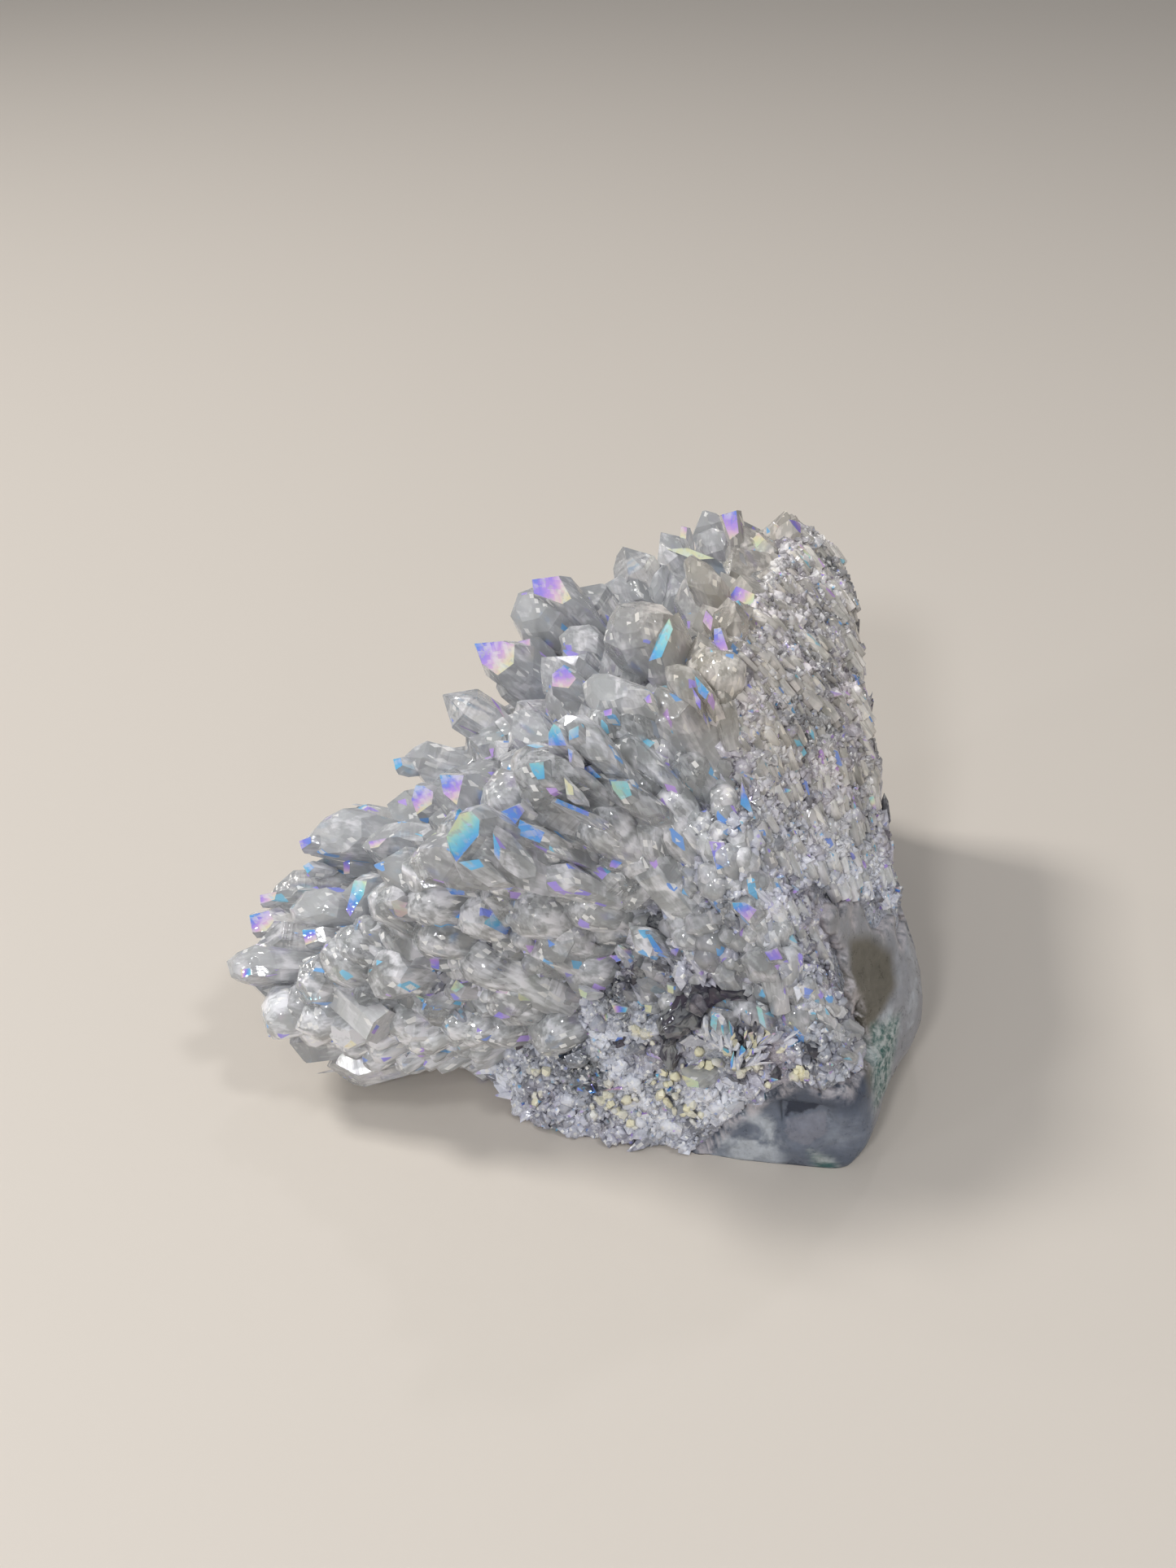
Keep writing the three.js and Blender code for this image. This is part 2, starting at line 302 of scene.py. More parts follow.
def convexFrom(normals, distances):
    # the corners and flat faces of the solid that lies inside all the planes
    n = len(normals)
    triples = np.array([(i, j, k) for i in range(n) for j in range(i) for k in range(j)])
    matrices = normals[triples]
    good = np.abs(np.linalg.det(matrices)) > 1e-4
    corners = np.linalg.solve(matrices[good], distances[triples[good]][..., None])[..., 0]
    inside = (corners @ normals.T <= distances + 1e-5).all(1)
    corners = np.unique(np.round(corners[inside], 5), axis=0)
    faces, planes = [], []
    for i in range(n):
        on = np.where(np.abs(corners @ normals[i] - distances[i]) < 1e-4)[0]
        if len(on) < 3:
            continue
        across = unit(np.cross(normals[i], [0.31, 0.57, 0.76]))
        up = np.cross(normals[i], across)
        middle = corners[on].mean(0)
        angle = np.arctan2((corners[on] - middle) @ up, (corners[on] - middle) @ across)
        faces.append(on[np.argsort(angle)])
        planes.append(i)
    return corners, faces, np.array(planes)


def quartzForm(index, width, length, chip=0.0, taper=0.0):
    # a six-sided prism under three wide and three narrow sloping faces; tip at the origin, body down -Z
    turn = np.arange(6) * math.pi / 3
    narrowing = np.full(6, -taper * width / length)
    prism = unit(np.stack([np.cos(turn), np.sin(turn), narrowing], 1))
    prismOut = 0.5 * width * (0.86 + 0.14 * spread(index, 3 + np.arange(6)))
    slope = math.radians(51.8)
    level = np.full(6, math.cos(slope))
    sloped = np.stack([math.sin(slope) * np.cos(turn), math.sin(slope) * np.sin(turn), level], 1)
    setBack = np.where(np.arange(6) % 2, 0.42, 0.1) * width * chance(index, 13 + np.arange(6))
    normals = np.concatenate([prism, sloped, [[0, 0, -1]]])
    distances = np.concatenate([prismOut, -setBack * math.cos(slope), [length]])
    if chip > 0:
        away = unit(np.array([spread(index, 40), spread(index, 41), 0.8 * chance(index, 42)]))
        normals = np.concatenate([normals, [away]])
        distances = np.concatenate([distances, [chip * width]])
    return convexFrom(normals, distances)


def bluntForm(index, length, taper, sideCount=9, domeCount=24):
    # a rounded crystal one unit wide: many worn sides and a domed tip at the origin, body down -Z
    turn = (np.arange(sideCount) + 0.3 * spread(index, np.arange(sideCount))) * math.tau / sideCount
    around = unit(np.stack([np.cos(turn), np.sin(turn), np.full(sideCount, -taper)], 1))
    aroundOut = 0.42 + 0.08 * chance(index, 60 + np.arange(sideCount))
    dome = spiral(domeCount)
    dome = unit(dome + 0.22 * spread(index, 80 + np.arange(3 * domeCount)).reshape(domeCount, 3))
    dome = dome[dome[:, 2] > 0.12]
    domeOut = (0.42 + 0.06 * chance(index, 160 + np.arange(len(dome)))) - 0.5 * dome[:, 2]
    normals = np.concatenate([around, dome, [[0, 0, -1]]])
    return convexFrom(normals, np.concatenate([aroundOut, domeOut, [length]]))


def shardForm(index, sideCount=5):
    # a broken splinter one unit wide and long: rough sides, and slanted breaks at both ends
    turn = (np.arange(sideCount) + 0.35 * spread(index, np.arange(sideCount))) * math.tau / sideCount
    lean = 0.16 * spread(index, 10 + np.arange(sideCount))
    around = unit(np.stack([np.cos(turn), np.sin(turn), lean], 1))
    aroundOut = 0.36 + 0.14 * chance(index, 20 + np.arange(sideCount))
    ends, endsOut = [], []
    for end in range(4):
        tilt = 0.25 + 0.75 * chance(index, 30 + end)
        way = (chance(index, 35 + end) + 0.5 * (end % 2)) * math.tau
        up = 1 if end < 2 else -1
        across = math.sin(tilt)
        ends.append([across * math.cos(way), across * math.sin(way), up * math.cos(tilt)])
        endsOut.append(0.5 - 0.12 * chance(index, 38 + end) - 0.25 * across)
    return convexFrom(np.concatenate([around, ends]), np.concatenate([aroundOut, endsOut]))


def grainForm(index, sides):
    # a sugar grain one unit across
    faces = unit(spiral(sides) + 0.35 * spread(index, np.arange(3 * sides)).reshape(sides, 3))
    return convexFrom(faces, 0.38 + 0.12 * chance(index, 90 + np.arange(sides)))


def turned(axes, twists):
    # one rotation matrix per axis, taking Z to the axis
    helper = np.where(np.abs(axes[:, 2:3]) > 0.9, [[1.0, 0, 0]], [[0, 0, 1.0]])
    across = unit(np.cross(helper, axes))
    up = np.cross(axes, across)
    c, s = np.cos(twists)[:, None], np.sin(twists)[:, None]
    return np.stack([c * across + s * up, c * up - s * across, axes], axis=2)


class Heap:
    # closed forms gathered into one mesh, with what each point and face says to the material
    def __init__(self, seed):
        self.random = np.random.default_rng(seed)
        self.parts = []
        self.count = 0

    def store(self, kept, points, own, sides, loops, tones, clears, creams, films, hues, prism,
              smooth=False):
        perForm = points.shape[1]
        starts = self.count + np.arange(kept)[:, None] * perForm
        self.parts.append({
            "points": points.reshape(-1, 3),
            "own": own.reshape(-1, 3),
            "corners": (starts + loops).ravel(),
            "sizes": np.tile(sides, kept),
            "tone": np.repeat(tones, perForm),
            "clear": np.repeat(clears, perForm),
            "paintedGlint": np.repeat(creams, perForm),
            "film": films.ravel(),
            "hue": hues.ravel(),
            "prism": np.tile(prism, kept).astype(float),
            "smooth": np.full(kept * len(sides), smooth),
        })
        self.count += kept * perForm

    def add(self, form, tips, rotations, sizes, tones, clears=1.0, film=0.0, run=0.35, prismPlanes=0,
            creams=0.0, smooth=False):
        # many turned and stretched copies of one form; the ones that leave the box are dropped
        corners, faces, planes = form
        many = len(tips)
        sizes = np.broadcast_to(np.asarray(sizes, float), (many, 3))
        placed = np.einsum("nij,kj->nki", rotations * sizes[:, None, :], corners) + tips[:, None]
        inside = ((placed > boxLow + 0.02) | (np.arange(3) == 2)) & (placed < boxHigh - 0.02)
        keep = inside.all((1, 2)) & (placed[..., 2].max(1) > 0.2)
        placed = placed[keep]
        placed[..., 2] = np.maximum(placed[..., 2], 0.02)
        kept = len(placed)
        loops = np.concatenate(faces)
        sides = [len(face) for face in faces]
        own = corners[None] * sizes[keep, None]
        own = own + self.random.uniform(-90, 90, (kept, 1, 3)) * [1, 1, 0]
        facet = self.random.random((kept, len(faces)))
        films = facet > 1 - np.broadcast_to(np.asarray(film, float), (many,))[keep, None]
        films = films & (not smooth)
        if prismPlanes:
            films = films & (planes >= prismPlanes) & (planes != 2 * prismPlanes)
        slopes = run * self.random.normal(0, 1, (kept, 3))
        filmHues = self.random.uniform(*flashHues, facet.shape)
        filmHues = np.where(self.random.random(facet.shape) < goldShare, goldHue, filmHues)
        hues = (slopes @ corners.T)[:, loops] + np.repeat(np.where(films, filmHues, facet), sides, axis=1)
        said = (tones, clears, creams)
        tones, clears, creams = (np.broadcast_to(values, (many,))[keep] for values in said)
        films = films.astype(float)
        onPrism = planes < prismPlanes
        self.store(kept, placed, own, sides, loops, tones, clears, creams, films, hues, onPrism, smooth)

    def addLayers(self, layers, rotation, tone, clear, topHues=None):
        # one solid through similar outlines, from its front facet back to its root
        count = len(layers[0])
        points = np.clip(np.concatenate(layers), boxLow + 0.03, boxHigh - 0.03)
        ring = np.arange(count)
        faces = [ring]
        for i in range(len(layers) - 1):
            upper = ring + i * count
            lower = upper + count
            faces += list(np.stack([np.roll(upper, -1), upper, lower, np.roll(lower, -1)], 1))
        faces.append(ring[::-1] + (len(layers) - 1) * count)
        loops = np.concatenate(faces)
        sides = [len(face) for face in faces]
        own = (points - points[:count].mean(0)) @ rotation + self.random.uniform(-90, 90, 3) * [1, 1, 0]
        films = np.zeros(len(faces))
        hues = np.zeros(len(loops))
        if topHues is not None:
            films[0] = 1
            hues[:count] = topHues
        flat = np.zeros(len(faces), bool)
        self.store(1, points[None], own[None], sides, loops, [tone], [clear], [0.0], films, hues, flat)

    def gathered(self, key):
        return np.concatenate([part[key] for part in self.parts])

    def piece(self, name, material):
        pointValues = {key: self.gathered(key) for key in ("own", "tone", "clear", "paintedGlint")}
        faceValues = {key: self.gathered(key) for key in ("film", "prism")}
        cornerValues = {"hue": self.gathered("hue")}
        points, corners, sizes = (self.gathered(key) for key in ("points", "corners", "sizes"))
        values = (pointValues, faceValues, cornerValues)
        return makePiece(name, points, corners, sizes, material, *values, self.gathered("smooth"))


# places over the whole skin, with what lies there
crown = {"at": (29, 20, 38), "radius": 9, "rise": 1.8}  # the fuller skin over the top of the slope


def crowned(points, ways):
    away = np.linalg.norm(points - np.array(crown["at"], float), axis=1) / crown["radius"]
    return points + ways * (crown["rise"] * np.exp(-away * away))[:, None]


placeCount = 170000
placeWays = spiral(placeCount)
places = crowned(skinPoints(placeWays), placeWays)
placeLooks = outward(placeWays)
placeGrowth = growth(places)
placeRind = rindShare(places, shownBands)
drusyWay = unit(np.array([-0.62, 0.33, 0.71]))
drusyLimit = 0.42
placeDrusy = placeLooks @ drusyWay > drusyLimit


def picked(gap, seed, allowed):
    # at most one of the allowed places in each cell of a grid of that size
    order = np.random.default_rng(seed).permutation(np.where(allowed)[0])
    cells = np.floor(places[order] / gap + 0.37).astype(int)
    first = np.unique(cells, axis=0, return_index=True)[1]
    return order[np.sort(first)]


def wideTone(p):
    # how pale the stone is at a place, before each grain's own tone
    tone = 0.64 + 0.11 * ripples(p, 7, 11) + 0.17 * ripples(p, 2.6, 12)
    # paler on the milky lobe, darker at the smoky spots, and in the notch low on the left painted shadow
    tone = tone + 0.24 * lobeShare(p) - 0.35 * nearSpots(p, spots["smokyAndShadow"])
    return tone


# nodes
def startMaterial(name):
    material = bpy.data.materials.new(name)
    material.use_nodes = True
    tree = material.node_tree
    return material, tree, tree.nodes["Principled BSDF"]


def node(tree, kind, inputs=None, **settings):
    made = tree.nodes.new(kind)
    for key, value in settings.items():
        setattr(made, key, value)
    for key, value in (inputs or {}).items():
        socket = made.inputs[key]
        if isinstance(value, bpy.types.NodeSocket):
            tree.links.new(value, socket)
        else:
            socket.default_value = value
    return made


def ramp(tree, factor, stops):
    made = node(tree, "ShaderNodeValToRGB", {"Fac": factor})
    elements = made.color_ramp.elements
    while len(elements) < len(stops):
        elements.new(0.5)
    for element, (place, colour) in zip(elements, stops):
        element.position = place
        element.color = (*colour, 1)
    return made.outputs["Color"]


def maths(tree, operation, a, b=0.0, clamp=False):
    made = node(tree, "ShaderNodeMath", {0: a, 1: b}, operation=operation, use_clamp=clamp)
    return made.outputs[0]


def mixColour(tree, factor, a, b, blend="MIX"):
    made = node(tree, "ShaderNodeMix", data_type="RGBA", blend_type=blend)
    for socket, value in ((made.inputs[0], factor), (made.inputs[6], a), (made.inputs[7], b)):
        if isinstance(value, bpy.types.NodeSocket):
            tree.links.new(value, socket)
        elif isinstance(value, (int, float)):
            socket.default_value = value
        else:
            socket.default_value = (*value, 1)
    return made.outputs[2]


def mapRange(tree, value, low, high, toLow=0.0, toHigh=1.0):
    settings = {"Value": value, "From Min": low, "From Max": high, "To Min": toLow, "To Max": toHigh}
    return node(tree, "ShaderNodeMapRange", settings).outputs[0]


def noiseAt(tree, scale, detail=2.0, distortion=0.0, roughness=0.5, stretch=None):
    place = node(tree, "ShaderNodeTexCoord").outputs["Object"]
    if stretch:
        place = node(tree, "ShaderNodeMapping", {"Vector": place, "Scale": stretch}).outputs["Vector"]
    settings = {"Vector": place, "Scale": scale, "Detail": detail}
    settings.update({"Distortion": distortion, "Roughness": roughness})
    return node(tree, "ShaderNodeTexNoise", settings).outputs["Fac"]


def attribute(tree, name):
    return node(tree, "ShaderNodeAttribute", attribute_name=name).outputs["Fac"]


def link(tree, value, shader, socket):
    tree.links.new(value, shader.inputs[socket])


def addBump(tree, shader, height, strength, depth):
    bump = node(tree, "ShaderNodeBump", {"Height": height, "Strength": strength, "Distance": depth * mm})
    link(tree, bump.outputs["Normal"], shader, "Normal")


def own(tree, stretch=(1, 1, 1)):
    # a place in the crystal's own frame, mm, with its length along Z
    place = node(tree, "ShaderNodeAttribute", attribute_name="own").outputs["Vector"]
    return node(tree, "ShaderNodeMapping", {"Vector": place, "Scale": stretch}).outputs["Vector"]


def noiseOn(tree, place, scale, detail=2.0, distortion=0.0, roughness=0.5):
    settings = {"Vector": place, "Scale": scale, "Detail": detail}
    settings.update({"Distortion": distortion, "Roughness": roughness})
    return node(tree, "ShaderNodeTexNoise", settings).outputs["Fac"]


# the film of colour that the flashing faces carry
auraStops = [
    (0.0, (0.80, 0.95, 0.70)),
    (0.14, (0.48, 0.90, 0.95)),
    (0.27, (0.25, 0.68, 1.00)),
    (0.40, (0.22, 0.44, 1.00)),
    (0.52, (0.42, 0.36, 1.00)),
    (0.64, (0.70, 0.46, 0.98)),
    (0.75, (0.93, 0.66, 0.84)),
    (0.86, (1.00, 0.92, 0.62)),
    (1.0, (0.80, 0.95, 0.70)),
]
auraLook = {
    "drift": (-0.1, 0.2),  # how far the colour moves along the run
    "metal": 0.3,
    "film": 380,  # nanometres
    "filmIndex": 1.7,
    "coat": 0.08,
    "coatIndex": 1.6,
    "glare": (0.97, 0.97, 1.0),
    "pastel": 0.85,  # where the soft tinge starts in the run
}
flashHues = (0.22, 0.66)  # where in the colour run most flashes lie
goldHue = 0.86
goldShare = 0.12  # of the flashes
quartzIndex = 1.544
glintWhite = (1.0, 0.99, 0.97)


def auraColour(tree, drift):
    # the run of colours, drifting a little, with a pale glare here and there
    moved = mapRange(tree, drift, 0, 1, *auraLook["drift"])
    run = maths(tree, "FRACT", maths(tree, "ADD", attribute(tree, "hue"), moved))
    glare = mapRange(tree, drift, 0.5, 0.68, 0.0, 0.6)
    return mixColour(tree, glare, ramp(tree, run, auraStops), auraLook["glare"])


def auraFilm(tree, shader):
    thickness = maths(tree, "MULTIPLY", attribute(tree, "film"), auraLook["film"])
    link(tree, thickness, shader, "Thin Film Thickness")
    shader.inputs["Thin Film IOR"].default_value = auraLook["filmIndex"]


stoneStops = [
    (0.0, (0.045, 0.038, 0.035)),
    (0.25, (0.185, 0.172, 0.172)),
    (0.5, (0.445, 0.44, 0.475)),
    (0.75, (0.71, 0.705, 0.77)),
    (1.0, (0.93, 0.925, 0.975)),
]
# painted warm glint: the cream colour of those crystals
paintedGlintColour = (1.0, 0.955, 0.70)
clearLooks = {
    "whole": {
        "tint": (0.99, 0.985, 0.98),
        "milk": (0.93, 0.925, 0.915),
        "smoke": (0.42, 0.395, 0.375),
        "through": 0.72,  # how see-through, where clearest
        "least": 0.25,  # and where milkiest
        "cloud": (0.5, 0.95),
        "contrast": 0.5,
        "root": (4.0, 14.0),  # mm from the tip, where it turns milky
        "flash": (0.974, 0.976),
        "spark": 0.957,
        "tinge": 0.05,
        # strength of the painted rim reflection
        "rim": 0.7,
        "rough": 0.03,
        "pits": 0.3,
        "absorbs": (0.84, 0.80, 0.76),
        "density": 10,
    },
    "broken": {
        "tint": (0.975, 0.97, 0.96),
        "milk": (0.935, 0.93, 0.93),
        "smoke": (0.085, 0.07, 0.064),
        "through": 0.78,
        "least": 0.1,
        "cloud": (0.35, 0.85),
        "contrast": 0.7,
        "root": (4.0, 11.0),
        "flash": (0.962, 0.964),
        "spark": 0.943,
        "tinge": 0.05,
        # strength of the painted rim reflection
        "rim": 0.8,
        "rough": 0.05,
        "pits": 0.15,
        "absorbs": (0.86, 0.83, 0.80),
        "density": 16,
    },
}
# painted reflection at the grazing rim of the clear crystals
paintedRimGlare = (0.95, 0.96, 0.98)
crystalLook = {  # sizes of the pattern in the crystal's own frame, for each mm
    "clouds": 0.42,
    "fibres": 2.6,
    "specks": 2.7,
    "flakes": 1.5,
    "patches": 0.09,
    "bump": 0.4,
    "bumpDepth": 0.3,  # mm
}
slopeLook = {"from": 37, "to": 42, "tint": (1.0, 0.945, 0.86)}  # mm out along the slope's facing


def cellsAt(tree, place, scale):
    # random numbers, the same all over each small straight-edged cell
    turn = {"Vector": place, "Rotation": (0.5, 0.7, 0.3), "Scale": (scale, scale, scale)}
    scaled = node(tree, "ShaderNodeMapping", turn).outputs["Vector"]
    corner = node(tree, "ShaderNodeVectorMath", {0: scaled}, operation="FLOOR").outputs["Vector"]
    cells = node(tree, "ShaderNodeTexWhiteNoise", {"Vector": corner}, noise_dimensions="3D")
    return node(tree, "ShaderNodeSeparateColor", {"Color": cells.outputs["Color"]}).outputs


def pastelOf(tree, drift):
    # a soft run of the film's colours
    return ramp(tree, maths(tree, "FRACT", maths(tree, "ADD", drift, auraLook["pastel"])), auraStops)


def shareSum(tree, parts):
    # the sum of each value between its limits, times its weight
    total = 0.0
    for value, low, high, weight in parts:
        total = maths(tree, "ADD", total, mapRange(tree, value, low, high, 0.0, weight))
    return total


def slopeWarmth(tree, base):
    # the slope is tinted a little warmer than the front
    place = node(tree, "ShaderNodeTexCoord").outputs["Object"]
    towards = node(tree, "ShaderNodeVectorMath", {0: place, 1: slopeWay}, operation="DOT_PRODUCT")
    warmth = mapRange(tree, towards.outputs["Value"], slopeLook["from"] * mm, slopeLook["to"] * mm)
    return mixColour(tree, warmth, base, mixColour(tree, 1.0, base, slopeLook["tint"], "MULTIPLY"))


def clearMaterial(name, look):
    # clear crystal with soft clouds and fine fibres along it, and here and there a flash
    material, tree, shader = startMaterial(name)
    depth = node(tree, "ShaderNodeSeparateXYZ", {"Vector": own(tree, (1, 1, -1))}).outputs["Z"]
    wide = noiseOn(tree, own(tree, (1, 1, 0.7)), crystalLook["clouds"], 2.0, 0.8)
    fibres = noiseOn(tree, own(tree, (1, 1, 0.12)), crystalLook["fibres"], 1.0, 0.3)
    fine = cellsAt(tree, own(tree, (1, 1, 0.4)), crystalLook["specks"])
    flakes = cellsAt(tree, own(tree, (1, 1, 0.35)), crystalLook["flakes"])
    shade = shareSum(tree, [(wide, 0.28, 0.72, 0.64), (fibres, 0.3, 0.7, 0.18), (fine["Red"], 0, 1, 0.18)])
    root = mapRange(tree, depth, *look["root"], 0.0, 0.6)
    opaque = maths(tree, "SUBTRACT", 1.0, attribute(tree, "clear"))
    milky = maths(tree, "ADD", maths(tree, "ADD", root, mapRange(tree, shade, *look["cloud"])), opaque, True)
    grey = maths(tree, "MULTIPLY", maths(tree, "SUBTRACT", shade, 0.5), look["contrast"])
    grey = maths(tree, "ADD", grey, attribute(tree, "tone"), True)
    base = mixColour(tree, milky, look["tint"], mixColour(tree, grey, look["smoke"], look["milk"]))
    pastel = pastelOf(tree, wide)
    plain = mapRange(tree, attribute(tree, "tone"), 0.15, 0.35, 0.0, 0.9)
    flash = maths(tree, "MULTIPLY", mapRange(tree, flakes["Blue"], *look["flash"]), plain)
    base = mixColour(tree, look["tinge"], base, pastel)
    flashColour = ramp(tree, mapRange(tree, flakes["Green"], 0, 1, *flashHues), auraStops)
    base = mixColour(tree, flash, base, flashColour)
    spark = mapRange(tree, fine["Red"], look["spark"], look["spark"] + 0.01)
    spark = maths(tree, "MULTIPLY", spark, plain)
    base = mixColour(tree, spark, base, glintWhite)
    # painted reflection: the base colour turns pale towards the grazing rim, standing in for the bright edge
    # of the glass
    facing = node(tree, "ShaderNodeLayerWeight", {"Blend": 0.3}).outputs["Facing"]
    rim = mapRange(tree, facing, 0.4, 0.95, 0.0, look["rim"])
    base = mixColour(tree, rim, base, paintedRimGlare)
    base = slopeWarmth(tree, base)
    strong = maths(tree, "MULTIPLY", attribute(tree, "film"), mapRange(tree, fibres, 0.34, 0.42, 0.55, 1.0))
    patches = mapRange(tree, fine["Green"], 0, 1, -crystalLook["patches"], crystalLook["patches"])
    base = mixColour(tree, strong, base, auraColour(tree, maths(tree, "ADD", wide, patches)))
    link(tree, base, shader, "Base Color")
    link(tree, maths(tree, "MULTIPLY", strong, auraLook["metal"]), shader, "Metallic")
    solid = maths(tree, "MAXIMUM", maths(tree, "MAXIMUM", milky, flash), maths(tree, "MAXIMUM", spark, rim))
    through = mapRange(tree, solid, 0, 1, look["through"], look["least"])
    through = maths(tree, "MULTIPLY", through, mapRange(tree, strong, 0, 1, 1, 0.1))
    link(tree, through, shader, "Transmission Weight")
    shader.inputs["Roughness"].default_value = look["rough"]
    shader.inputs["IOR"].default_value = quartzIndex
    shader.inputs["Coat Weight"].default_value = auraLook["coat"]
    shader.inputs["Coat IOR"].default_value = auraLook["coatIndex"]
    auraFilm(tree, shader)
    ribs = noiseOn(tree, own(tree, (0.01, 0.01, 1)), crystalLook["fibres"], 1.0)
    ribs = maths(tree, "MULTIPLY", ribs, attribute(tree, "prism"))
    pits = noiseOn(tree, own(tree, (1, 1, 0.4)), crystalLook["fibres"], 1.0)
    height = maths(tree, "ADD", ribs, maths(tree, "MULTIPLY", pits, look["pits"]))
    addBump(tree, shader, height, crystalLook["bump"], crystalLook["bumpDepth"])
    inside = node(tree, "ShaderNodeVolumeAbsorption")
    inside.inputs["Color"].default_value = (*look["absorbs"], 1)
    inside.inputs["Density"].default_value = look["density"]
    tree.links.new(inside.outputs["Volume"], tree.nodes["Material Output"].inputs["Volume"])
    return material


sprinkleLook = {"tinge": 0.05, "white": (1.0, 0.99, 0.96), "strength": 0.8}


def sprinkled(tree, base, drift, scale, whiteFrom, colourFrom):
    # pin-point glints and pastel specks over a soft pastel tinge
    place = node(tree, "ShaderNodeTexCoord").outputs["Object"]
    specks = cellsAt(tree, place, scale)
    colour = ramp(tree, mapRange(tree, specks["Red"], 0, 1, *flashHues), auraStops)
    base = mixColour(tree, sprinkleLook["tinge"], base, pastelOf(tree, drift))
    white = mapRange(tree, specks["Green"], whiteFrom, 1.0)
    base = mixColour(tree, white, base, sprinkleLook["white"])
    coloured = mapRange(tree, specks["Blue"], colourFrom, 1.0, 0.0, sprinkleLook["strength"])
    return mixColour(tree, coloured, base, colour)


shardLooks = {
    "shards": {"facets": 0.12, "specks": 2600, "white": 0.88, "colour": 0.975},
    "grains": {"facets": 0.04, "specks": 3400, "white": 0.82, "colour": 0.98},
}
sugarLook = {
    "blush": (0.72, 0.66, 0.68),
    # painted shade between the crystals, warm brown
    "gap": (0.12, 0.105, 0.09),
    "teal": (0.05, 0.17, 0.15),
    "specks": 3600,
    "white": 0.88,
    "colour": 0.975,
}


def shardMaterial(name, look):
    material, tree, shader = startMaterial(name)
    drift = noiseAt(tree, 160, 1.0)
    rough = noiseAt(tree, 1600, 2.0, 0.6)
    facet = mapRange(tree, attribute(tree, "hue"), 0.0, 1.0, -look["facets"], look["facets"])
    grey = maths(tree, "ADD", attribute(tree, "tone"), mapRange(tree, rough, 0.3, 0.7, -0.12, 0.12))
    stone = slopeWarmth(tree, ramp(tree, maths(tree, "ADD", grey, facet), stoneStops))
    stone = sprinkled(tree, stone, drift, look["specks"], look["white"], look["colour"])
    # painted warm glints: some grains and splinters are cream, standing for glints of warm light
    stone = mixColour(tree, attribute(tree, "paintedGlint"), stone, paintedGlintColour)
    strong = attribute(tree, "film")
    link(tree, mixColour(tree, strong, stone, auraColour(tree, drift)), shader, "Base Color")
    link(tree, maths(tree, "MULTIPLY", strong, auraLook["metal"]), shader, "Metallic")
    link(tree, maths(tree, "MULTIPLY", attribute(tree, "clear"), 0.5), shader, "Transmission Weight")
    shader.inputs["Roughness"].default_value = 0.12
    shader.inputs["IOR"].default_value = quartzIndex
    auraFilm(tree, shader)
    addBump(tree, shader, rough, 0.5, 0.3)
    return material


def sugarMaterial():
    material, tree, shader = startMaterial("sugaryQuartz")
    drift = noiseAt(tree, 160, 1.0)
    fine = noiseAt(tree, 2600, 3.0, 0.3, 0.75)
    grey = maths(tree, "ADD", attribute(tree, "tone"), mapRange(tree, fine, 0.3, 0.7, -0.24, 0.2))
    base = slopeWarmth(tree, ramp(tree, grey, stoneStops))
    base = mixColour(tree, mapRange(tree, drift, 0.45, 0.6, 0.0, 0.5), base, sugarLook["blush"])
    # painted shade: the skin between the crystals turns dark warm brown
    base = mixColour(tree, attribute(tree, "gap"), base, sugarLook["gap"])
    base = sprinkled(tree, base, drift, sugarLook["specks"], sugarLook["white"], sugarLook["colour"])
    teal = maths(tree, "MULTIPLY", attribute(tree, "teal"), mapRange(tree, fine, 0.4, 0.6))
    base = mixColour(tree, maths(tree, "MULTIPLY", teal, 0.8), base, sugarLook["teal"])
    link(tree, base, shader, "Base Color")
    link(tree, mapRange(tree, fine, 0.35, 0.65, 0.12, 0.5), shader, "Roughness")
    addBump(tree, shader, fine, 0.8, 0.5)
    return material


rindFacetShading = {  # painted shadow in the recess on the rind's front and painted light on the face below it, with crisp edges
    "fade": 0.25,
    "wobble": 0.15,
    "front": -20,  # only in front of this y
    "faces": {  # x and z, turning left, and the colour
        "shaded": ([(20.3, 5.2), (23.4, 7.1), (23.6, 8.2), (20.5, 7.4)], (0.055, 0.065, 0.095)),
        "light": (
            [(20.3, 5.1), (20.5, 3.4), (22.7, 3.1), (24.3, 4.8), (24.3, 7.1), (23.4, 7.0)],
            (0.27, 0.28, 0.33),
        ),
    },
}


def facetShare(tree, outline, wobble):
    # 1 inside a convex outline on the front
    place = node(tree, "ShaderNodeTexCoord").outputs["Object"]
    corners = (np.array(outline) + shiftToRow[[0, 2]]) * mm
    limits = [((0, -1, 0), -rindFacetShading["front"] * mm)]
    for corner, following in zip(corners, np.roll(corners, -1, axis=0)):
        across, up = unit(following - corner)
        limits.append(((-up, 0, across), float(corner @ [-up, across])))
    nearest = None
    for way, level in limits:
        towards = node(tree, "ShaderNodeVectorMath", {0: place, 1: way}, operation="DOT_PRODUCT")
        depth = maths(tree, "SUBTRACT", towards.outputs["Value"], level)
        nearest = depth if nearest is None else maths(tree, "MINIMUM", nearest, depth)
    return mapRange(tree, maths(tree, "ADD", nearest, wobble), 0.0, rindFacetShading["fade"] * mm)


agateLook = {
    "dark": (0.12, 0.145, 0.19),
    "middle": (0.20, 0.225, 0.28),
    "light": (0.33, 0.36, 0.42),
    "facet": (0.39, 0.39, 0.41),
    # painted shadow under the overhanging lip
    "shadowBand": (0.085, 0.10, 0.135),
    "pale": (0.55, 0.58, 0.62),
    "olive": (0.165, 0.15, 0.115),
    "rim": (0.60, 0.56, 0.57),
    "hatch": ((0.54, 0.58, 0.57), (0.06, 0.16, 0.15)),
    "subsurface": 0.25,
    "radius": (0.0016, 0.0018, 0.002),
}


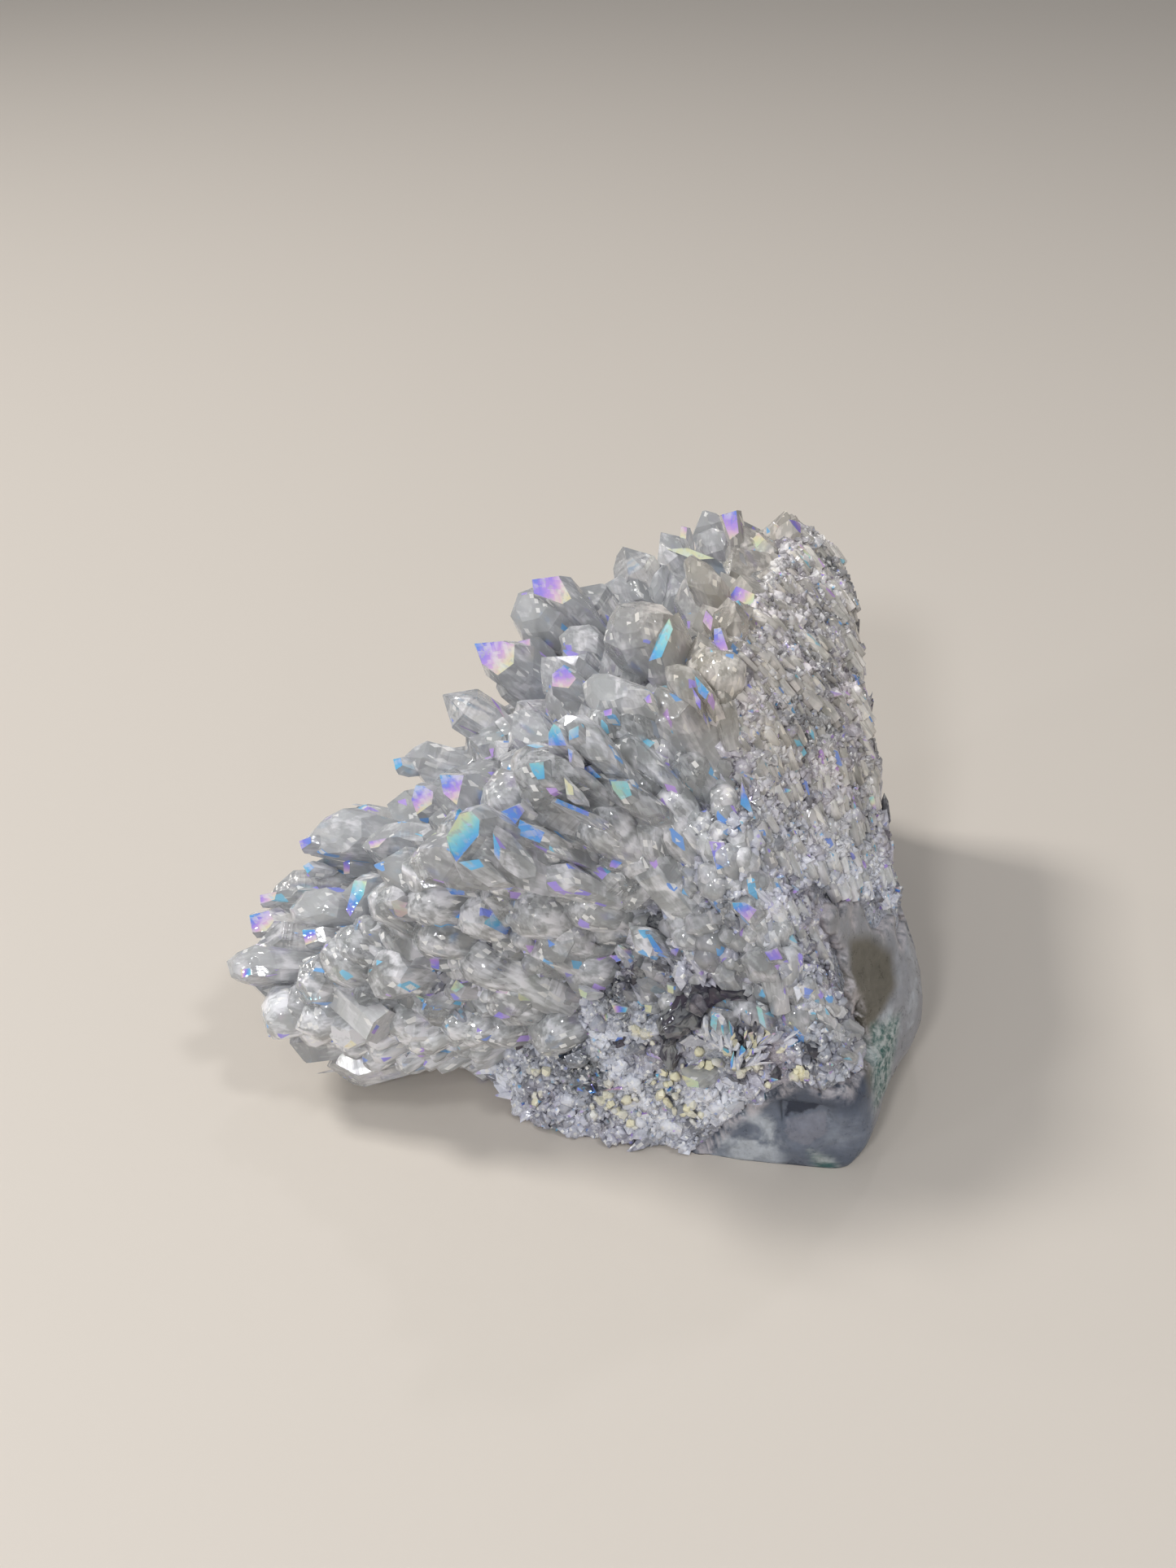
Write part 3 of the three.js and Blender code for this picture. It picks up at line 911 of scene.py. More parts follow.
def agateMaterial():
    material, tree, shader = startMaterial("agateRind")
    wide = noiseAt(tree, 110, 4.0, 0.8)
    fine = noiseAt(tree, 900, 4.0, 0.2, 0.65)
    look = agateLook
    base = ramp(tree, wide, [(0.3, look["dark"]), (0.5, look["middle"]), (0.7, look["light"])])
    base = mixColour(tree, attribute(tree, "facet"), base, look["facet"])
    # painted shadow: the dark band under the lip
    base = mixColour(tree, attribute(tree, "shadowBand"), base, look["shadowBand"])
    cloudy = mapRange(tree, noiseAt(tree, 420, 3.0, 0.4), 0.42, 0.6)
    base = mixColour(tree, maths(tree, "MULTIPLY", attribute(tree, "pale"), cloudy), base, look["pale"])
    far = rindFacetShading["wobble"] * mm
    wobble = mapRange(tree, noiseAt(tree, 1400, 2.0), 0.3, 0.7, -far, far)
    # painted shadow and painted light on the rind's flat breaks
    for outline, colour in rindFacetShading["faces"].values():
        base = mixColour(tree, facetShare(tree, outline, wobble), base, colour)
    base = mixColour(tree, attribute(tree, "olive"), base, look["olive"])
    rim = maths(tree, "MULTIPLY", attribute(tree, "rim"), mapRange(tree, fine, 0.35, 0.6))
    base = mixColour(tree, rim, base, look["rim"])
    hatch = mapRange(tree, noiseAt(tree, 1500, 4.0, 0.3, 0.65, (0.25, 1, 1)), 0.4, 0.62)
    streaks = mixColour(tree, hatch, *look["hatch"])
    base = mixColour(tree, attribute(tree, "teal"), base, streaks)
    cloud = ramp(tree, fine, [(0.3, (0.82, 0.82, 0.82)), (0.7, (1.12, 1.12, 1.12))])
    link(tree, mixColour(tree, 1.0, base, cloud, "MULTIPLY"), shader, "Base Color")
    link(tree, mapRange(tree, fine, 0.3, 0.7, 0.22, 0.44), shader, "Roughness")
    shader.inputs["Subsurface Weight"].default_value = look["subsurface"]
    shader.inputs["Subsurface Radius"].default_value = look["radius"]
    addBump(tree, shader, noiseAt(tree, 520, 4.0, 0.4), 0.4, 0.6)
    return material


def veilMaterial():
    material, tree, shader = startMaterial("innerVeil")
    drift = noiseAt(tree, 700, 2.0)
    shade = ramp(tree, drift, [(0.35, (0.6, 0.6, 0.62)), (0.65, (0.95, 0.95, 0.97))])
    base = mixColour(tree, attribute(tree, "film"), shade, auraColour(tree, drift))
    link(tree, base, shader, "Base Color")
    shader.inputs["Roughness"].default_value = 0.25
    shader.inputs["Transmission Weight"].default_value = 0.4
    return material


auraQuartz = clearMaterial("auraQuartz", clearLooks["whole"])
brokenQuartz = clearMaterial("brokenQuartz", clearLooks["broken"])
quartzShards = shardMaterial("quartzShards", shardLooks["shards"])
quartzGrains = shardMaterial("quartzGrains", shardLooks["grains"])
sugaryQuartz = sugarMaterial()
agateRind = agateMaterial()
innerVeil = veilMaterial()
print("materials made")


# the camera, and the lines of sight through pixels of its picture
cameraLook = {
    "foot": (1.5, -134, 118),  # mm, in the lump's own frame
    "pitch": 35,  # degrees down
    "lens": 36,
    "sensor": 36,
    "picture": (1445, 1927),  # pixels, wide and high
    "lumpAt": (800, 1010),  # a pixel well inside the lump
}


def sightLines(pixels):
    # the ways from the camera through pixels of its picture
    wide, high = cameraLook["picture"]
    focal = cameraLook["lens"] / cameraLook["sensor"] * high
    pitch = math.radians(cameraLook["pitch"])
    across, down = ((np.array(pixels, float) - (wide / 2, high / 2)) / focal).T
    ahead = math.cos(pitch) - down * math.sin(pitch)
    up = -math.sin(pitch) - down * math.cos(pitch)
    return np.stack([across, ahead, up], axis=1)


def atHeight(pixel, height):
    # where the line of sight through a pixel has come down to a height, to half a millimetre
    eye = np.array(cameraLook["foot"])
    way = sightLines([pixel])[0]
    place = eye + way * (height - eye[2]) / way[2]
    return round(2 * place[0]) / 2, round(2 * place[1]) / 2


# the crystals: the ones of the solid first, in the same order, then smaller ones between them
leadingCrystals = [  # a pixel at each tip, across and down, then the tip's height and its width, mm
    (765, 745, 50, 6.5), (845, 690, 48.5, 6.5), (665, 880, 46, 6.5), (625, 945, 43, 6.5),
    (560, 1010, 39, 6), (505, 1040, 36, 5), (800, 830, 48, 5.5), (730, 835, 46.5, 5),
    (660, 800, 43, 5), (595, 795, 38.5, 5.5), (640, 730, 41, 6), (700, 710, 42.5, 5),
    (755, 668, 44.5, 5), (800, 648, 44.5, 5.5), (860, 615, 44, 5), (915, 628, 43.5, 4.5),
    (540, 850, 35, 5), (485, 925, 29, 4.5), (515, 955, 32, 5), (555, 945, 35, 5),
    (455, 985, 27, 5), (390, 1010, 24.5, 5.5), (430, 1040, 26, 5), (355, 1075, 20.5, 5),
    (410, 1090, 23.5, 6), (318, 1100, 18.5, 5), (360, 1130, 18.5, 5.5), (280, 1190, 13, 6),
    (300, 1160, 15.5, 5), (350, 1200, 13.5, 6.5), (325, 1240, 9, 5.5), (345, 1285, 6, 5),
    (390, 1322, 3, 5), (460, 1150, 22, 6), (440, 1220, 15, 6.5), (470, 1290, 7, 5.5),
]
drusyFill = [{"width": 5.4, "gap": 5.6, "rise": 5}, {"width": 3.8, "gap": 4.7, "rise": 3.4}]
brokenFill = [{"width": 4.4, "gap": 6.2, "length": 11}]
candidates = 2600


def tilted(axis, amount, index):
    return unit(axis + amount * spread(index, np.array([20, 21, 22])))


def rooted(tip, axis, length, width):
    inward = unit(tip - centre)
    for lean in np.arange(0, 1.01, 0.1):
        leaned = unit(axis * (1 - lean) + inward * lean)
        root = tip - leaned * length - centre
        away = np.linalg.norm(root)
        if away + 0.5 * width < reach((root / away)[None])[0]:
            return leaned
    return inward


def mainCrystals():
    placed, taken, gaps = [], [], []

    def hasRoom(place, gap):
        away = np.linalg.norm(np.array(taken) - place, axis=1)
        return (away > (gap + np.array(gaps)) / 2).all()

    for index, (across, down, z, width) in enumerate(leadingCrystals):
        x, y = atHeight((across, down), z)
        tip = np.array([x, y, z], float)
        length = 2.6 * width
        axis = rooted(tip, tilted(growth(tip[None])[0], 0.12, index), length, width)
        placed.append((tip, axis, width, length, index))
        taken.append(tip - axis * width)
        gaps.append(width)
    index = len(leadingCrystals)
    directions = spiral(candidates)
    found, looks = skinPoints(directions), outward(directions)
    grown = growth(found)
    onRind = rindShare(found) > 0
    drusy = looks @ drusyWay > drusyLimit
    for size in drusyFill:
        for i in range(candidates):
            if not drusy[i] or onRind[i] or found[i][2] < 3 or not hasRoom(found[i], size["gap"]):
                continue
            index += 1
            axis = tilted(unit(grown[i] + 0.5 * looks[i]), 0.22, index)
            width = size["width"] * (1 + 0.15 * spread(index, 30))
            rise = size["rise"] * (1 + 0.25 * spread(index, 31))
            placed.append((found[i] + axis * rise, axis, width, rise + width, index))
            taken.append(found[i])
            gaps.append(size["gap"])
    whole = len(placed)
    for size in brokenFill:
        for i in range(candidates):
            if drusy[i] or onRind[i] or found[i][2] < 3 or looks[i][2] < -0.5:
                continue
            if not hasRoom(found[i], size["gap"]):
                continue
            index += 1
            along = unit(grown[i] + looks[i] * (0.14 - grown[i] @ looks[i]))
            width = size["width"] * (1 + 0.2 * spread(index, 30))
            tip = found[i] - looks[i] * 0.05 * width
            toLine = math.hypot(tip[0] - growthLine["x"], tip[2] - growthLine["z"])
            length = min(size["length"], 0.6 * toLine)
            axis = rooted(tip, tilted(along, 0.1, index), length, 0.5 * width)
            placed.append((tip, axis, width, length, index))
            taken.append(found[i])
            gaps.append(size["gap"])
    return placed[:whole], placed[whole:]


wholeCrystals, brokenCrystals = mainCrystals()
print(len(wholeCrystals), "whole and", len(brokenCrystals), "broken crystals")

# single crystals that stand out, placed by their outlines in the camera's picture
facingOf = {"crystal": unit(np.array([-0.38, -0.66, 0.65])), "front": unit(np.array([-0.12, -0.86, 0.5]))}
bodies = {  # which way it looks, how far it stands out of the solid, mm, and its outline in pixels
    "roundTop": ("crystal", 1, [(740, 800), (744, 765), (760, 745), (785, 736), (810, 741), (824, 754),
        (820, 782), (800, 807), (765, 812)]),
    "underTop": ("crystal", 1.2, [(712, 840), (725, 830), (752, 827), (790, 840), (805, 855), (800, 872),
        (765, 882), (735, 880), (715, 860)]),
    "whiteFacet": ("front", 0.9, [(680, 885), (695, 875), (715, 875), (735, 890), (755, 925), (755, 940),
        (730, 940), (700, 920), (677, 915)]),
    "longColumn": ("front", 1, [(627, 952), (635, 932), (647, 920), (672, 916), (700, 932), (725, 950),
        (722, 965), (690, 977), (652, 992), (635, 977)]),
    "leaning": ("front", 1, [(705, 947), (722, 940), (752, 947), (790, 965), (815, 987), (817, 1002),
        (800, 1007), (765, 995), (725, 970)]),
    "besideLens": ("front", 0.9, [(750, 890), (765, 882), (802, 915), (840, 962), (842, 982), (827, 977),
        (777, 940), (757, 915)]),
    "grooveTop": ("front", 0.9, [(815, 817), (835, 812), (857, 820), (877, 850), (887, 872), (865, 880),
        (835, 860), (817, 840)]),
    "ribbedFan": ("front", 0.9, [(551, 1025), (560, 1005), (580, 994), (597, 1000), (615, 1022),
        (622, 1055), (617, 1085), (590, 1077), (562, 1062)]),
    "besideFan": ("front", 0.8, [(610, 1002), (640, 987), (670, 1007), (690, 1032), (700, 1055),
        (670, 1050), (640, 1035), (617, 1022)]),
    "underFan": ("front", 0.9, [(652, 1075), (670, 1060), (700, 1060), (715, 1072), (712, 1090),
        (695, 1100), (675, 1097), (657, 1087)]),
    "nearGroove": ("front", 0.8, [(717, 1057), (745, 1052), (765, 1062), (767, 1085), (745, 1095),
        (722, 1088)]),
    "lowLeft": ("front", 0.8, [(372, 1177), (395, 1167), (410, 1175), (410, 1212), (390, 1225),
        (377, 1207)]),
    "lowMiddle": ("front", 0.8, [(415, 1147), (430, 1135), (450, 1137), (465, 1150), (470, 1187),
        (460, 1215), (432, 1207), (417, 1180)]),
    "leftTip": ("crystal", 0.6, [(277, 1182), (292, 1167), (320, 1160), (345, 1170), (352, 1190),
        (335, 1205), (307, 1212), (285, 1207)]),
    "leftLow": ("crystal", 0.8, [(352, 1120), (377, 1092), (410, 1090), (430, 1105), (425, 1132),
        (390, 1140), (360, 1135)]),
    "leftHigh": ("crystal", 0.8, [(372, 1035), (400, 1000), (430, 990), (455, 1000), (455, 1030),
        (435, 1050), (400, 1055), (375, 1050)]),
    "leftBar": ("front", 0.8, [(465, 1100), (477, 1090), (510, 1125), (520, 1145), (510, 1150),
        (482, 1130)]),
    "lowLens": ("front", 0.5, [(822, 1280), (833, 1247), (860, 1217), (893, 1200), (930, 1207),
        (960, 1230), (967, 1267), (953, 1300), (920, 1313), (880, 1310), (843, 1297)]),
    "upperRight": ("crystal", 1, [(837, 689), (850, 678), (872, 692), (893, 716), (888, 738), (869, 740),
        (845, 722)]),
    "upperSliver": ("crystal", 0.8, [(796, 730), (804, 703), (818, 692), (815, 722), (804, 740)]),
    "crest": ("crystal", 0.8, [(852, 675), (855, 655), (875, 648), (900, 655), (895, 680), (870, 690)]),
    "topLeft": ("crystal", 0.9, [(625, 760), (640, 727), (657, 718), (690, 732), (700, 757), (680, 782),
        (640, 790)]),
    "topMiddle": ("crystal", 0.9, [(685, 785), (702, 767), (727, 766), (742, 782), (740, 810), (715, 830),
        (695, 817)]),
    "behindTop": ("crystal", 0.9, [(740, 722), (765, 707), (790, 712), (795, 737), (770, 742),
        (747, 742)]),
    "grooveEdge": ("front", 0.6, [(845, 1062), (851, 1070), (858, 1095), (846, 1104), (838, 1100)]),
    "valley": ("front", 0.3, [(770, 1132), (800, 1140), (812, 1160), (800, 1178), (778, 1170)]),
    "rightGlass": ("front", 0.4, [(905, 1175), (922, 1160), (950, 1160), (965, 1178), (950, 1205),
        (920, 1205)]),
    "overGlass": ("front", 0.4, [(838, 1130), (855, 1118), (880, 1120), (886, 1140), (862, 1152),
        (842, 1148)]),
}
onlyCarries = {"lowLens"}  # flashes lie on it, but its own rim and splinters are made further down

setBack = {"roundTop": 0.6}  # mm, how far behind its outline a body is set

# one flash straight in mm: y of the middle, and x and z of the outline
lensFlash = (
    "crystal", -13.6, (0, 0.32), (-0.3, -1),
    [(8.9, 50.8), (9.2, 49.9), (8.2, 47.9), (7.1, 47.4), (8, 49.3)],
)

# single bright facets: which way each looks, how far it stands out or the body it lies on, the start
# and end of its colours in the run, the way they go over x and z, and the outline in pixels
flashes = [
    ("crystal", 0.9, (0.34, 0.86), (1, -0.9), [(587, 792), (622, 789), (636, 794), (635, 818), (615, 832),
        (596, 818)]),
    ("crystal", 0.9, (0.5, 0.86), (1, -0.6), [(636, 792), (655, 787), (657, 812), (640, 819)]),
    ("crystal", 1, (0.36, 0.8), (0.6, -0.8), [(662, 790), (680, 779), (686, 785), (676, 807),
        (665, 812)]),
    ("crystal", 1, (0.42, 0.8), (0.4, -1), [(682, 830), (695, 820), (712, 835), (702, 847), (682, 846)]),
    ("crystal", "topLeft", (0.42, 0.84), (0.9, -0.6), [(657, 715), (690, 710), (705, 737), (695, 745),
        (660, 732)]),
    lensFlash,
    ("crystal", 1.4, (0.5, 0.86), (0.2, -1), [(827, 777), (839, 787), (837, 800), (822, 807)]),
    ("crystal", 0.9, (0.6, 0.72), (0.2, -1), [(870, 752), (879, 762), (877, 778), (867, 767)]),
    ("crystal", 0.9, (0.34, 0.84), (0.2, -1), [(880, 775), (889, 775), (897, 800), (894, 815),
        (881, 792)]),
    ("front", "whiteFacet", (0.05, 0.42), (0.1, -1), [(682, 890), (688, 893), (697, 916), (676, 915),
        (675, 900)]),
    ("front", "whiteFacet", (0.12, 0.3), (0.5, -1), [(700, 897), (712, 892), (712, 905), (700, 910)]),
    ("front", "whiteFacet", (0.28, 0.5), (0.2, -1), [(699, 920), (705, 924), (704, 936), (700, 935)]),
    ("front", "longColumn", (0.14, 0.3), (0.2, -1), [(652, 937), (670, 935), (671, 956), (662, 957),
        (655, 946)]),
    ("front", "longColumn", (0.78, 0.86), (0.2, -1), [(695, 955), (705, 965), (706, 976), (697, 976)]),
    ("front", "leaning", (0.5, 0.26), (1, -0.4), [(706, 945), (725, 941), (740, 955), (720, 957)]),
    ("front", "leaning", (0, 0.14), (1, -0.2), [(752, 960), (772, 960), (777, 977), (765, 982),
        (754, 970)]),
    ("front", 1.2, (0.3, 0.44), (1, -0.2), [(683, 985), (686, 981), (725, 997), (724, 1002)]),
    ("front", 1, (0.34, 0.5), (1, -0.2), [(727, 997), (747, 1015), (744, 1019), (727, 1004)]),
    ("crystal", 1, (0.24, 0.86), (0.6, -1), [(545, 955), (574, 955), (565, 991), (549, 977)]),
    ("crystal", 1, (0.24, 0.86), (0.6, -1), [(515, 967), (537, 967), (535, 990), (517, 1002),
        (510, 985)]),
    ("crystal", 1.2, (0.97, 0.03), (1, 0), [(595, 969), (621, 981), (611, 997)]),
    ("front", "besideFan", (0.36, 0.46), (1, 0), [(617, 997), (640, 986), (646, 995), (632, 1016)]),
    ("front", "ribbedFan", (-0.12, 0.4), (0.8, -1), [(551, 1027), (567, 1000), (581, 995), (592, 1007),
        (590, 1025), (562, 1060), (555, 1045)]),
    ("front", "ribbedFan", (0.2, 0.3), (1, 0), [(565, 1060), (590, 1057), (596, 1072), (580, 1076)]),
    ("front", "ribbedFan", (0.2, 0.36), (0, -1), [(607, 1022), (617, 1042), (615, 1062), (609, 1050)]),
    ("front", "besideFan", (0.3, 0.36), (1, 0), [(640, 1007), (670, 1022), (665, 1035), (636, 1025)]),
    ("front", "grooveTop", (0.2, 0.36), (0, -1), [(855, 830), (872, 850), (867, 860), (859, 850)]),
    ("front", "grooveTop", (0.46, 0.52), (0, -1), [(852, 845), (862, 860), (862, 872), (856, 864)]),
    ("crystal", "underTop", (0.5, 0.74), (0.6, -0.6), [(795, 860), (802, 856), (805, 865), (799, 867)]),
    ("crystal", "underTop", (0.5, 0.74), (0.6, -0.6), [(746, 875), (756, 872), (755, 880), (747, 881)]),
    ("front", 0.9, (0.28, 0.4), (0, -1), [(535, 1089), (572, 1091), (573, 1099), (540, 1097)]),
    ("front", 0.9, (0.48, 0.22), (0.2, -1), [(557, 1116), (580, 1117), (585, 1132), (560, 1125)]),
    ("front", 0.9, (0.26, 0.34), (1, 0), [(587, 1130), (602, 1132), (600, 1139), (586, 1135)]),
    ("front", 0.8, (0.3, 0.36), (1, 0), [(550, 1147), (562, 1145), (560, 1158), (552, 1156)]),
    ("front", 0.9, (0.2, 0.7), (0.5, -1), [(900, 1107), (915, 1107), (930, 1117), (920, 1130),
        (902, 1115)]),
    ("front", 0.9, (0.3, 0.4), (0.5, -1), [(795, 1147), (800, 1147), (816, 1170), (805, 1167)]),
    ("front", 0.9, (0.46, 0.22), (0.2, -1), [(912, 960), (922, 987), (927, 1002), (910, 987)]),
    ("front", 0.9, (0.54, 0.34), (0.3, -1), [(872, 1032), (890, 1035), (897, 1062), (882, 1067)]),
    ("front", "rightGlass", (0.46, 0.6), (1, 0), [(940, 1168), (955, 1163), (962, 1176), (946, 1178)]),
    ("crystal", 0.3, (0.22, 0.3), (1, 0), [(487, 935), (496, 932), (499, 942), (490, 947)]),
    ("crystal", "leftHigh", (0.5, 0.4), (1, 0), [(372, 1035), (386, 1030), (387, 1037), (375, 1045)]),
    ("crystal", 0.7, (0.22, 0.3), (1, 0), [(377, 1065), (384, 1060), (391, 1067), (383, 1074)]),
    ("crystal", 0.8, (0.5, 0.82), (0.5, -1), [(457, 1036), (480, 1031), (470, 1042), (460, 1044)]),
    ("crystal", 0.8, (0.4, 0.8), (0.1, -1), [(426, 1060), (434, 1057), (434, 1075), (427, 1075)]),
    ("crystal", 0.8, (0.42, 0.56), (0.5, -1), [(437, 1052), (460, 1047), (469, 1062), (457, 1080),
        (436, 1076)]),
    ("crystal", 0.8, (-0.05, 0.56), (0, -1), [(439, 1082), (455, 1084), (452, 1100), (435, 1127),
        (430, 1120)]),
    ("crystal", 0.6, (0.5, 0.8), (1, -0.4), [(324, 1100), (345, 1097), (342, 1107), (325, 1112)]),
    ("crystal", 0.4, (0.26, 0.86), (0.8, -1), [(312, 1125), (335, 1120), (342, 1132), (332, 1145),
        (315, 1147)]),
    ("crystal", 0.7, (0.24, 0.86), (0.4, -1), [(376, 1144), (392, 1142), (395, 1157), (380, 1162)]),
    ("crystal", "leftTip", (0.94, 0.04), (1, 0), [(300, 1192), (312, 1190), (314, 1198), (303, 1202)]),
    ("front", "lowLeft", (0.1, 0.26), (0, 1), [(379, 1209), (392, 1207), (395, 1222), (382, 1225)]),
    ("front", 0.5, (0.9, 0.96), (1, 0), [(445, 1238), (470, 1240), (465, 1250), (450, 1248)]),
    ("front", 0.6, (0.7, 0.4), (0.3, -1), [(530, 1177), (542, 1177), (542, 1190), (532, 1187)]),
    ("front", 0.4, (0.84, 0.9), (1, 0), [(328, 1258), (345, 1256), (345, 1270), (332, 1270)]),
    ("front", 0.6, (0.88, 0.92), (1, 0), [(820, 1208), (828, 1211), (828, 1220), (822, 1217)]),
    ("front", 0.6, (0.9, 0.94), (1, 0), [(712, 1213), (723, 1218), (721, 1226), (714, 1222)]),
    ("front", 0.6, (0.9, 0.06), (1, 0), [(752, 1233), (773, 1236), (770, 1243), (756, 1242)]),
    ("front", 0.6, (0.86, 0.9), (1, 0), [(793, 1233), (802, 1234), (801, 1242), (794, 1241)]),
    ("front", 0.6, (0.88, 0.98), (1, 0), [(838, 1318), (858, 1326), (860, 1334), (845, 1332)]),
    ("front", "lowLens", (0.2, 0.06), (0, -1), [(875, 1241), (883, 1243), (880, 1265), (874, 1258)]),
    ("front", "lowLens", (0.04, 0.1), (0, -1), [(930, 1235), (936, 1238), (942, 1262), (934, 1255)]),
    ("crystal", 0.8, (0.4, 0.8), (0.1, -1), [(889, 635), (907, 630), (910, 657), (899, 665)]),
    ("crystal", 0.6, (0.46, 0.54), (1, 0), [(947, 662), (961, 658), (964, 676), (950, 678)]),
    ("crystal", 0.6, (0.62, 0.66), (1, 0), [(957, 684), (966, 684), (966, 693), (958, 693)]),
    ("crystal", 0.6, (0.66, 0.84), (0, -1), [(839, 649), (847, 651), (845, 665), (838, 662)]),
    ("crystal", 1, (0.84, 0.9), (1, 0), [(823, 678), (847, 676), (880, 689), (856, 690)]),
]


def onSolid(pixel):
    # where the line of sight through a pixel meets the solid, moved towards the lump until it does
    eye = (np.array(cameraLook["foot"]) + shiftToRow) * mm
    for step in range(40):
        place = pixel + (np.array(cameraLook["lumpAt"]) - pixel) * step / 60
        met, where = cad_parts["quartz_cluster"].ray_cast(eye, sightLines([place])[0])[:2]
        if met:
            return np.array(where) / mm - shiftToRow
    raise ValueError("no solid on the way from " + str(pixel))


def liftedFrom(pixels, lift):
    # a place in front of the solid, towards the camera, at the outline's middle
    place = onSolid(np.mean(pixels, axis=0))
    return place + unit(np.array(cameraLook["foot"]) - place) * lift


def seenOutline(pixels, place, facing):
    # the outline's corners in the plane through a place
    eye = np.array(cameraLook["foot"])
    ways = sightLines(pixels)
    return eye + ways * ((place - eye) @ facing / (ways @ facing))[:, None]


def placedHeroes():
    # the y of each outline's middle, and its x and z, to a tenth of a millimetre
    planes = {}
    placedBodies, placedFlashes = [], []
    for name, (side, lift, pixels) in bodies.items():
        place = liftedFrom(pixels, lift)
        corners = seenOutline(pixels, place, facingOf[side])
        size = 0.5 * np.linalg.norm(np.ptp(corners, axis=0))
        planes[name] = place + facingOf[side] * (bodyFront * size + bodyGap)
        if name not in onlyCarries:
            middleY = round(corners[:, 1].mean() + setBack.get(name, 0), 1)
            placedBodies.append((side, middleY, np.round(corners[:, [0, 2]], 1)))
    for flash in flashes:
        if flash is lensFlash:
            placedFlashes.append(flash)
            continue
        side, stands, hues, way, pixels = flash
        place = planes[stands] if stands in planes else liftedFrom(pixels, stands)
        corners = seenOutline(pixels, place, facingOf[side])
        middleY = round(corners[:, 1].mean(), 1)
        placedFlashes.append((side, middleY, hues, way, np.round(corners[:, [0, 2]], 1)))
    return placedBodies, placedFlashes


def onPlane(outline, y, facing):
    # the outline's points in space, turning left round the facing
    seen = np.array(outline, float)
    middle = seen.mean(0)
    off = seen - middle
    depths = y - (facing[0] * off[:, 0] + facing[2] * off[:, 1]) / facing[1]
    points = np.stack([seen[:, 0], depths, seen[:, 1]], 1)
    following = np.roll(points, -1, axis=0)
    turns = np.cross(points - points.mean(0), following - points.mean(0)).sum(0) @ facing
    return points if turns > 0 else points[::-1]


def layersOf(points, facing, axis, steps):
    # similar outlines: scale, how far behind the facet, how far down the axis, each in the outline's size
    middle = points.mean(0)
    size = 0.5 * np.linalg.norm(np.ptp(points, axis=0))
    return [
        middle + (points - middle) * scale - facing * back * size - axis * down * size
        for scale, back, down in steps
    ]


bodyFront = 0.2  # how far a body's front stands out of its outline, in its own size
bodyGap = 0.3  # mm, from there to a flash on it
bodySteps = [(0.5, -0.2, -0.12), (0.84, -0.12, -0.03), (1, 0.08, 0.1), (0.86, 0.4, 1.1), (0.4, 0.7, 2.4)]
flashLift = 0.7
flashSteps = [(1, 0, 0), (1.08, 0.06, 0.02), (1.5, 0.35, 0.3), (1.4, 0.7, 1.4), (0.6, 0.9, 2.8)]


heroBodies, heroFlashes = placedHeroes()
print(len(heroBodies), "single crystals and", len(heroFlashes), "flashes placed")


def addHeroes(heap, kind):
    random = np.random.default_rng(101)
    for side, y, outline in heroBodies:
        points = onPlane(outline, y, facingOf[side])
        axis = growth(points.mean(0)[None])[0]
        layers = layersOf(points, facingOf[side], axis, bodySteps)
        layers[1] = layers[1] + random.normal(0, 0.12, layers[1].shape)
        tone, clear = random.uniform(0.5, 0.9), random.uniform(0.72, 1.0)
        if side == kind:
            heap.addLayers(layers, turned(axis[None], np.zeros(1))[0], tone, clear)
    for side, y, hues, way, outline in heroFlashes:
        points = onPlane(outline, y, facingOf[side]) + facingOf[side] * flashLift
        axis = growth(points.mean(0)[None])[0]
        layers = layersOf(points, facingOf[side], axis, flashSteps)
        run = points[:, [0, 2]] @ np.array(way)
        share = (run - run.min()) / np.ptp(run)
        topHues = hues[0] + (hues[1] - hues[0]) * share
        if side == kind:
            heap.addLayers(layers, turned(axis[None], np.zeros(1))[0], 0.7, 0.9, topHues)


smallFill = [  # gap, least and greatest width, mm
    {"gap": 3.4, "widths": (2.8, 4.4), "rise": 0.6, "film": 0.06},
    {"gap": 2.3, "widths": (1.3, 2.6), "rise": 0.3, "film": 0.06},
]


def makeCrystals():
    heap = Heap(21)
    for tip, axis, width, length, index in wholeCrystals:
        rotation = turned(axis[None], np.array([chance(index, 12) * math.pi]))
        form = quartzForm(index, width, length)
        clear = 0.85 + 0.15 * chance(index, 50)
        film = 0.06 if tip[1] > 8 else 0.0
        heap.add(form, tip[None], rotation, 1.0, 0.8, clear, film, 0.3 / width, 6)
    addHeroes(heap, "crystal")
    forms = [quartzForm(300 + i, 1, 2.6, 0.42 if i % 3 == 0 else 0) for i in range(10)]
    for seed, fill in enumerate(smallFill):
        spot = picked(fill["gap"], 31 + seed, placeDrusy & (placeRind == 0) & (places[:, 2] > 1.5))
        random = np.random.default_rng(41 + seed)
        widths = random.uniform(*fill["widths"], len(spot))
        axes = placeGrowth[spot] + 0.7 * placeLooks[spot] + random.normal(0, 0.3, (len(spot), 3))
        axes = unit(axes)
        tips = places[spot] + axes * (fill["rise"] * widths * random.uniform(0.7, 1.3, len(spot)))[:, None]
        kind = random.integers(0, len(forms), len(spot))
        rotations = turned(axes, random.uniform(0, math.pi, len(spot)))
        clears = random.uniform(0.5, 1.0, len(spot))
        for i, form in enumerate(forms):
            mine = kind == i
            sizes = np.repeat(widths[mine, None], 3, axis=1)
            heap.add(
                form, tips[mine], rotations[mine], sizes, 0.75, clears[mine], fill["film"],
                prismPlanes=6,
            )
    return heap.piece("quartz_crystals", auraQuartz)


crystalPiece = makeCrystals()


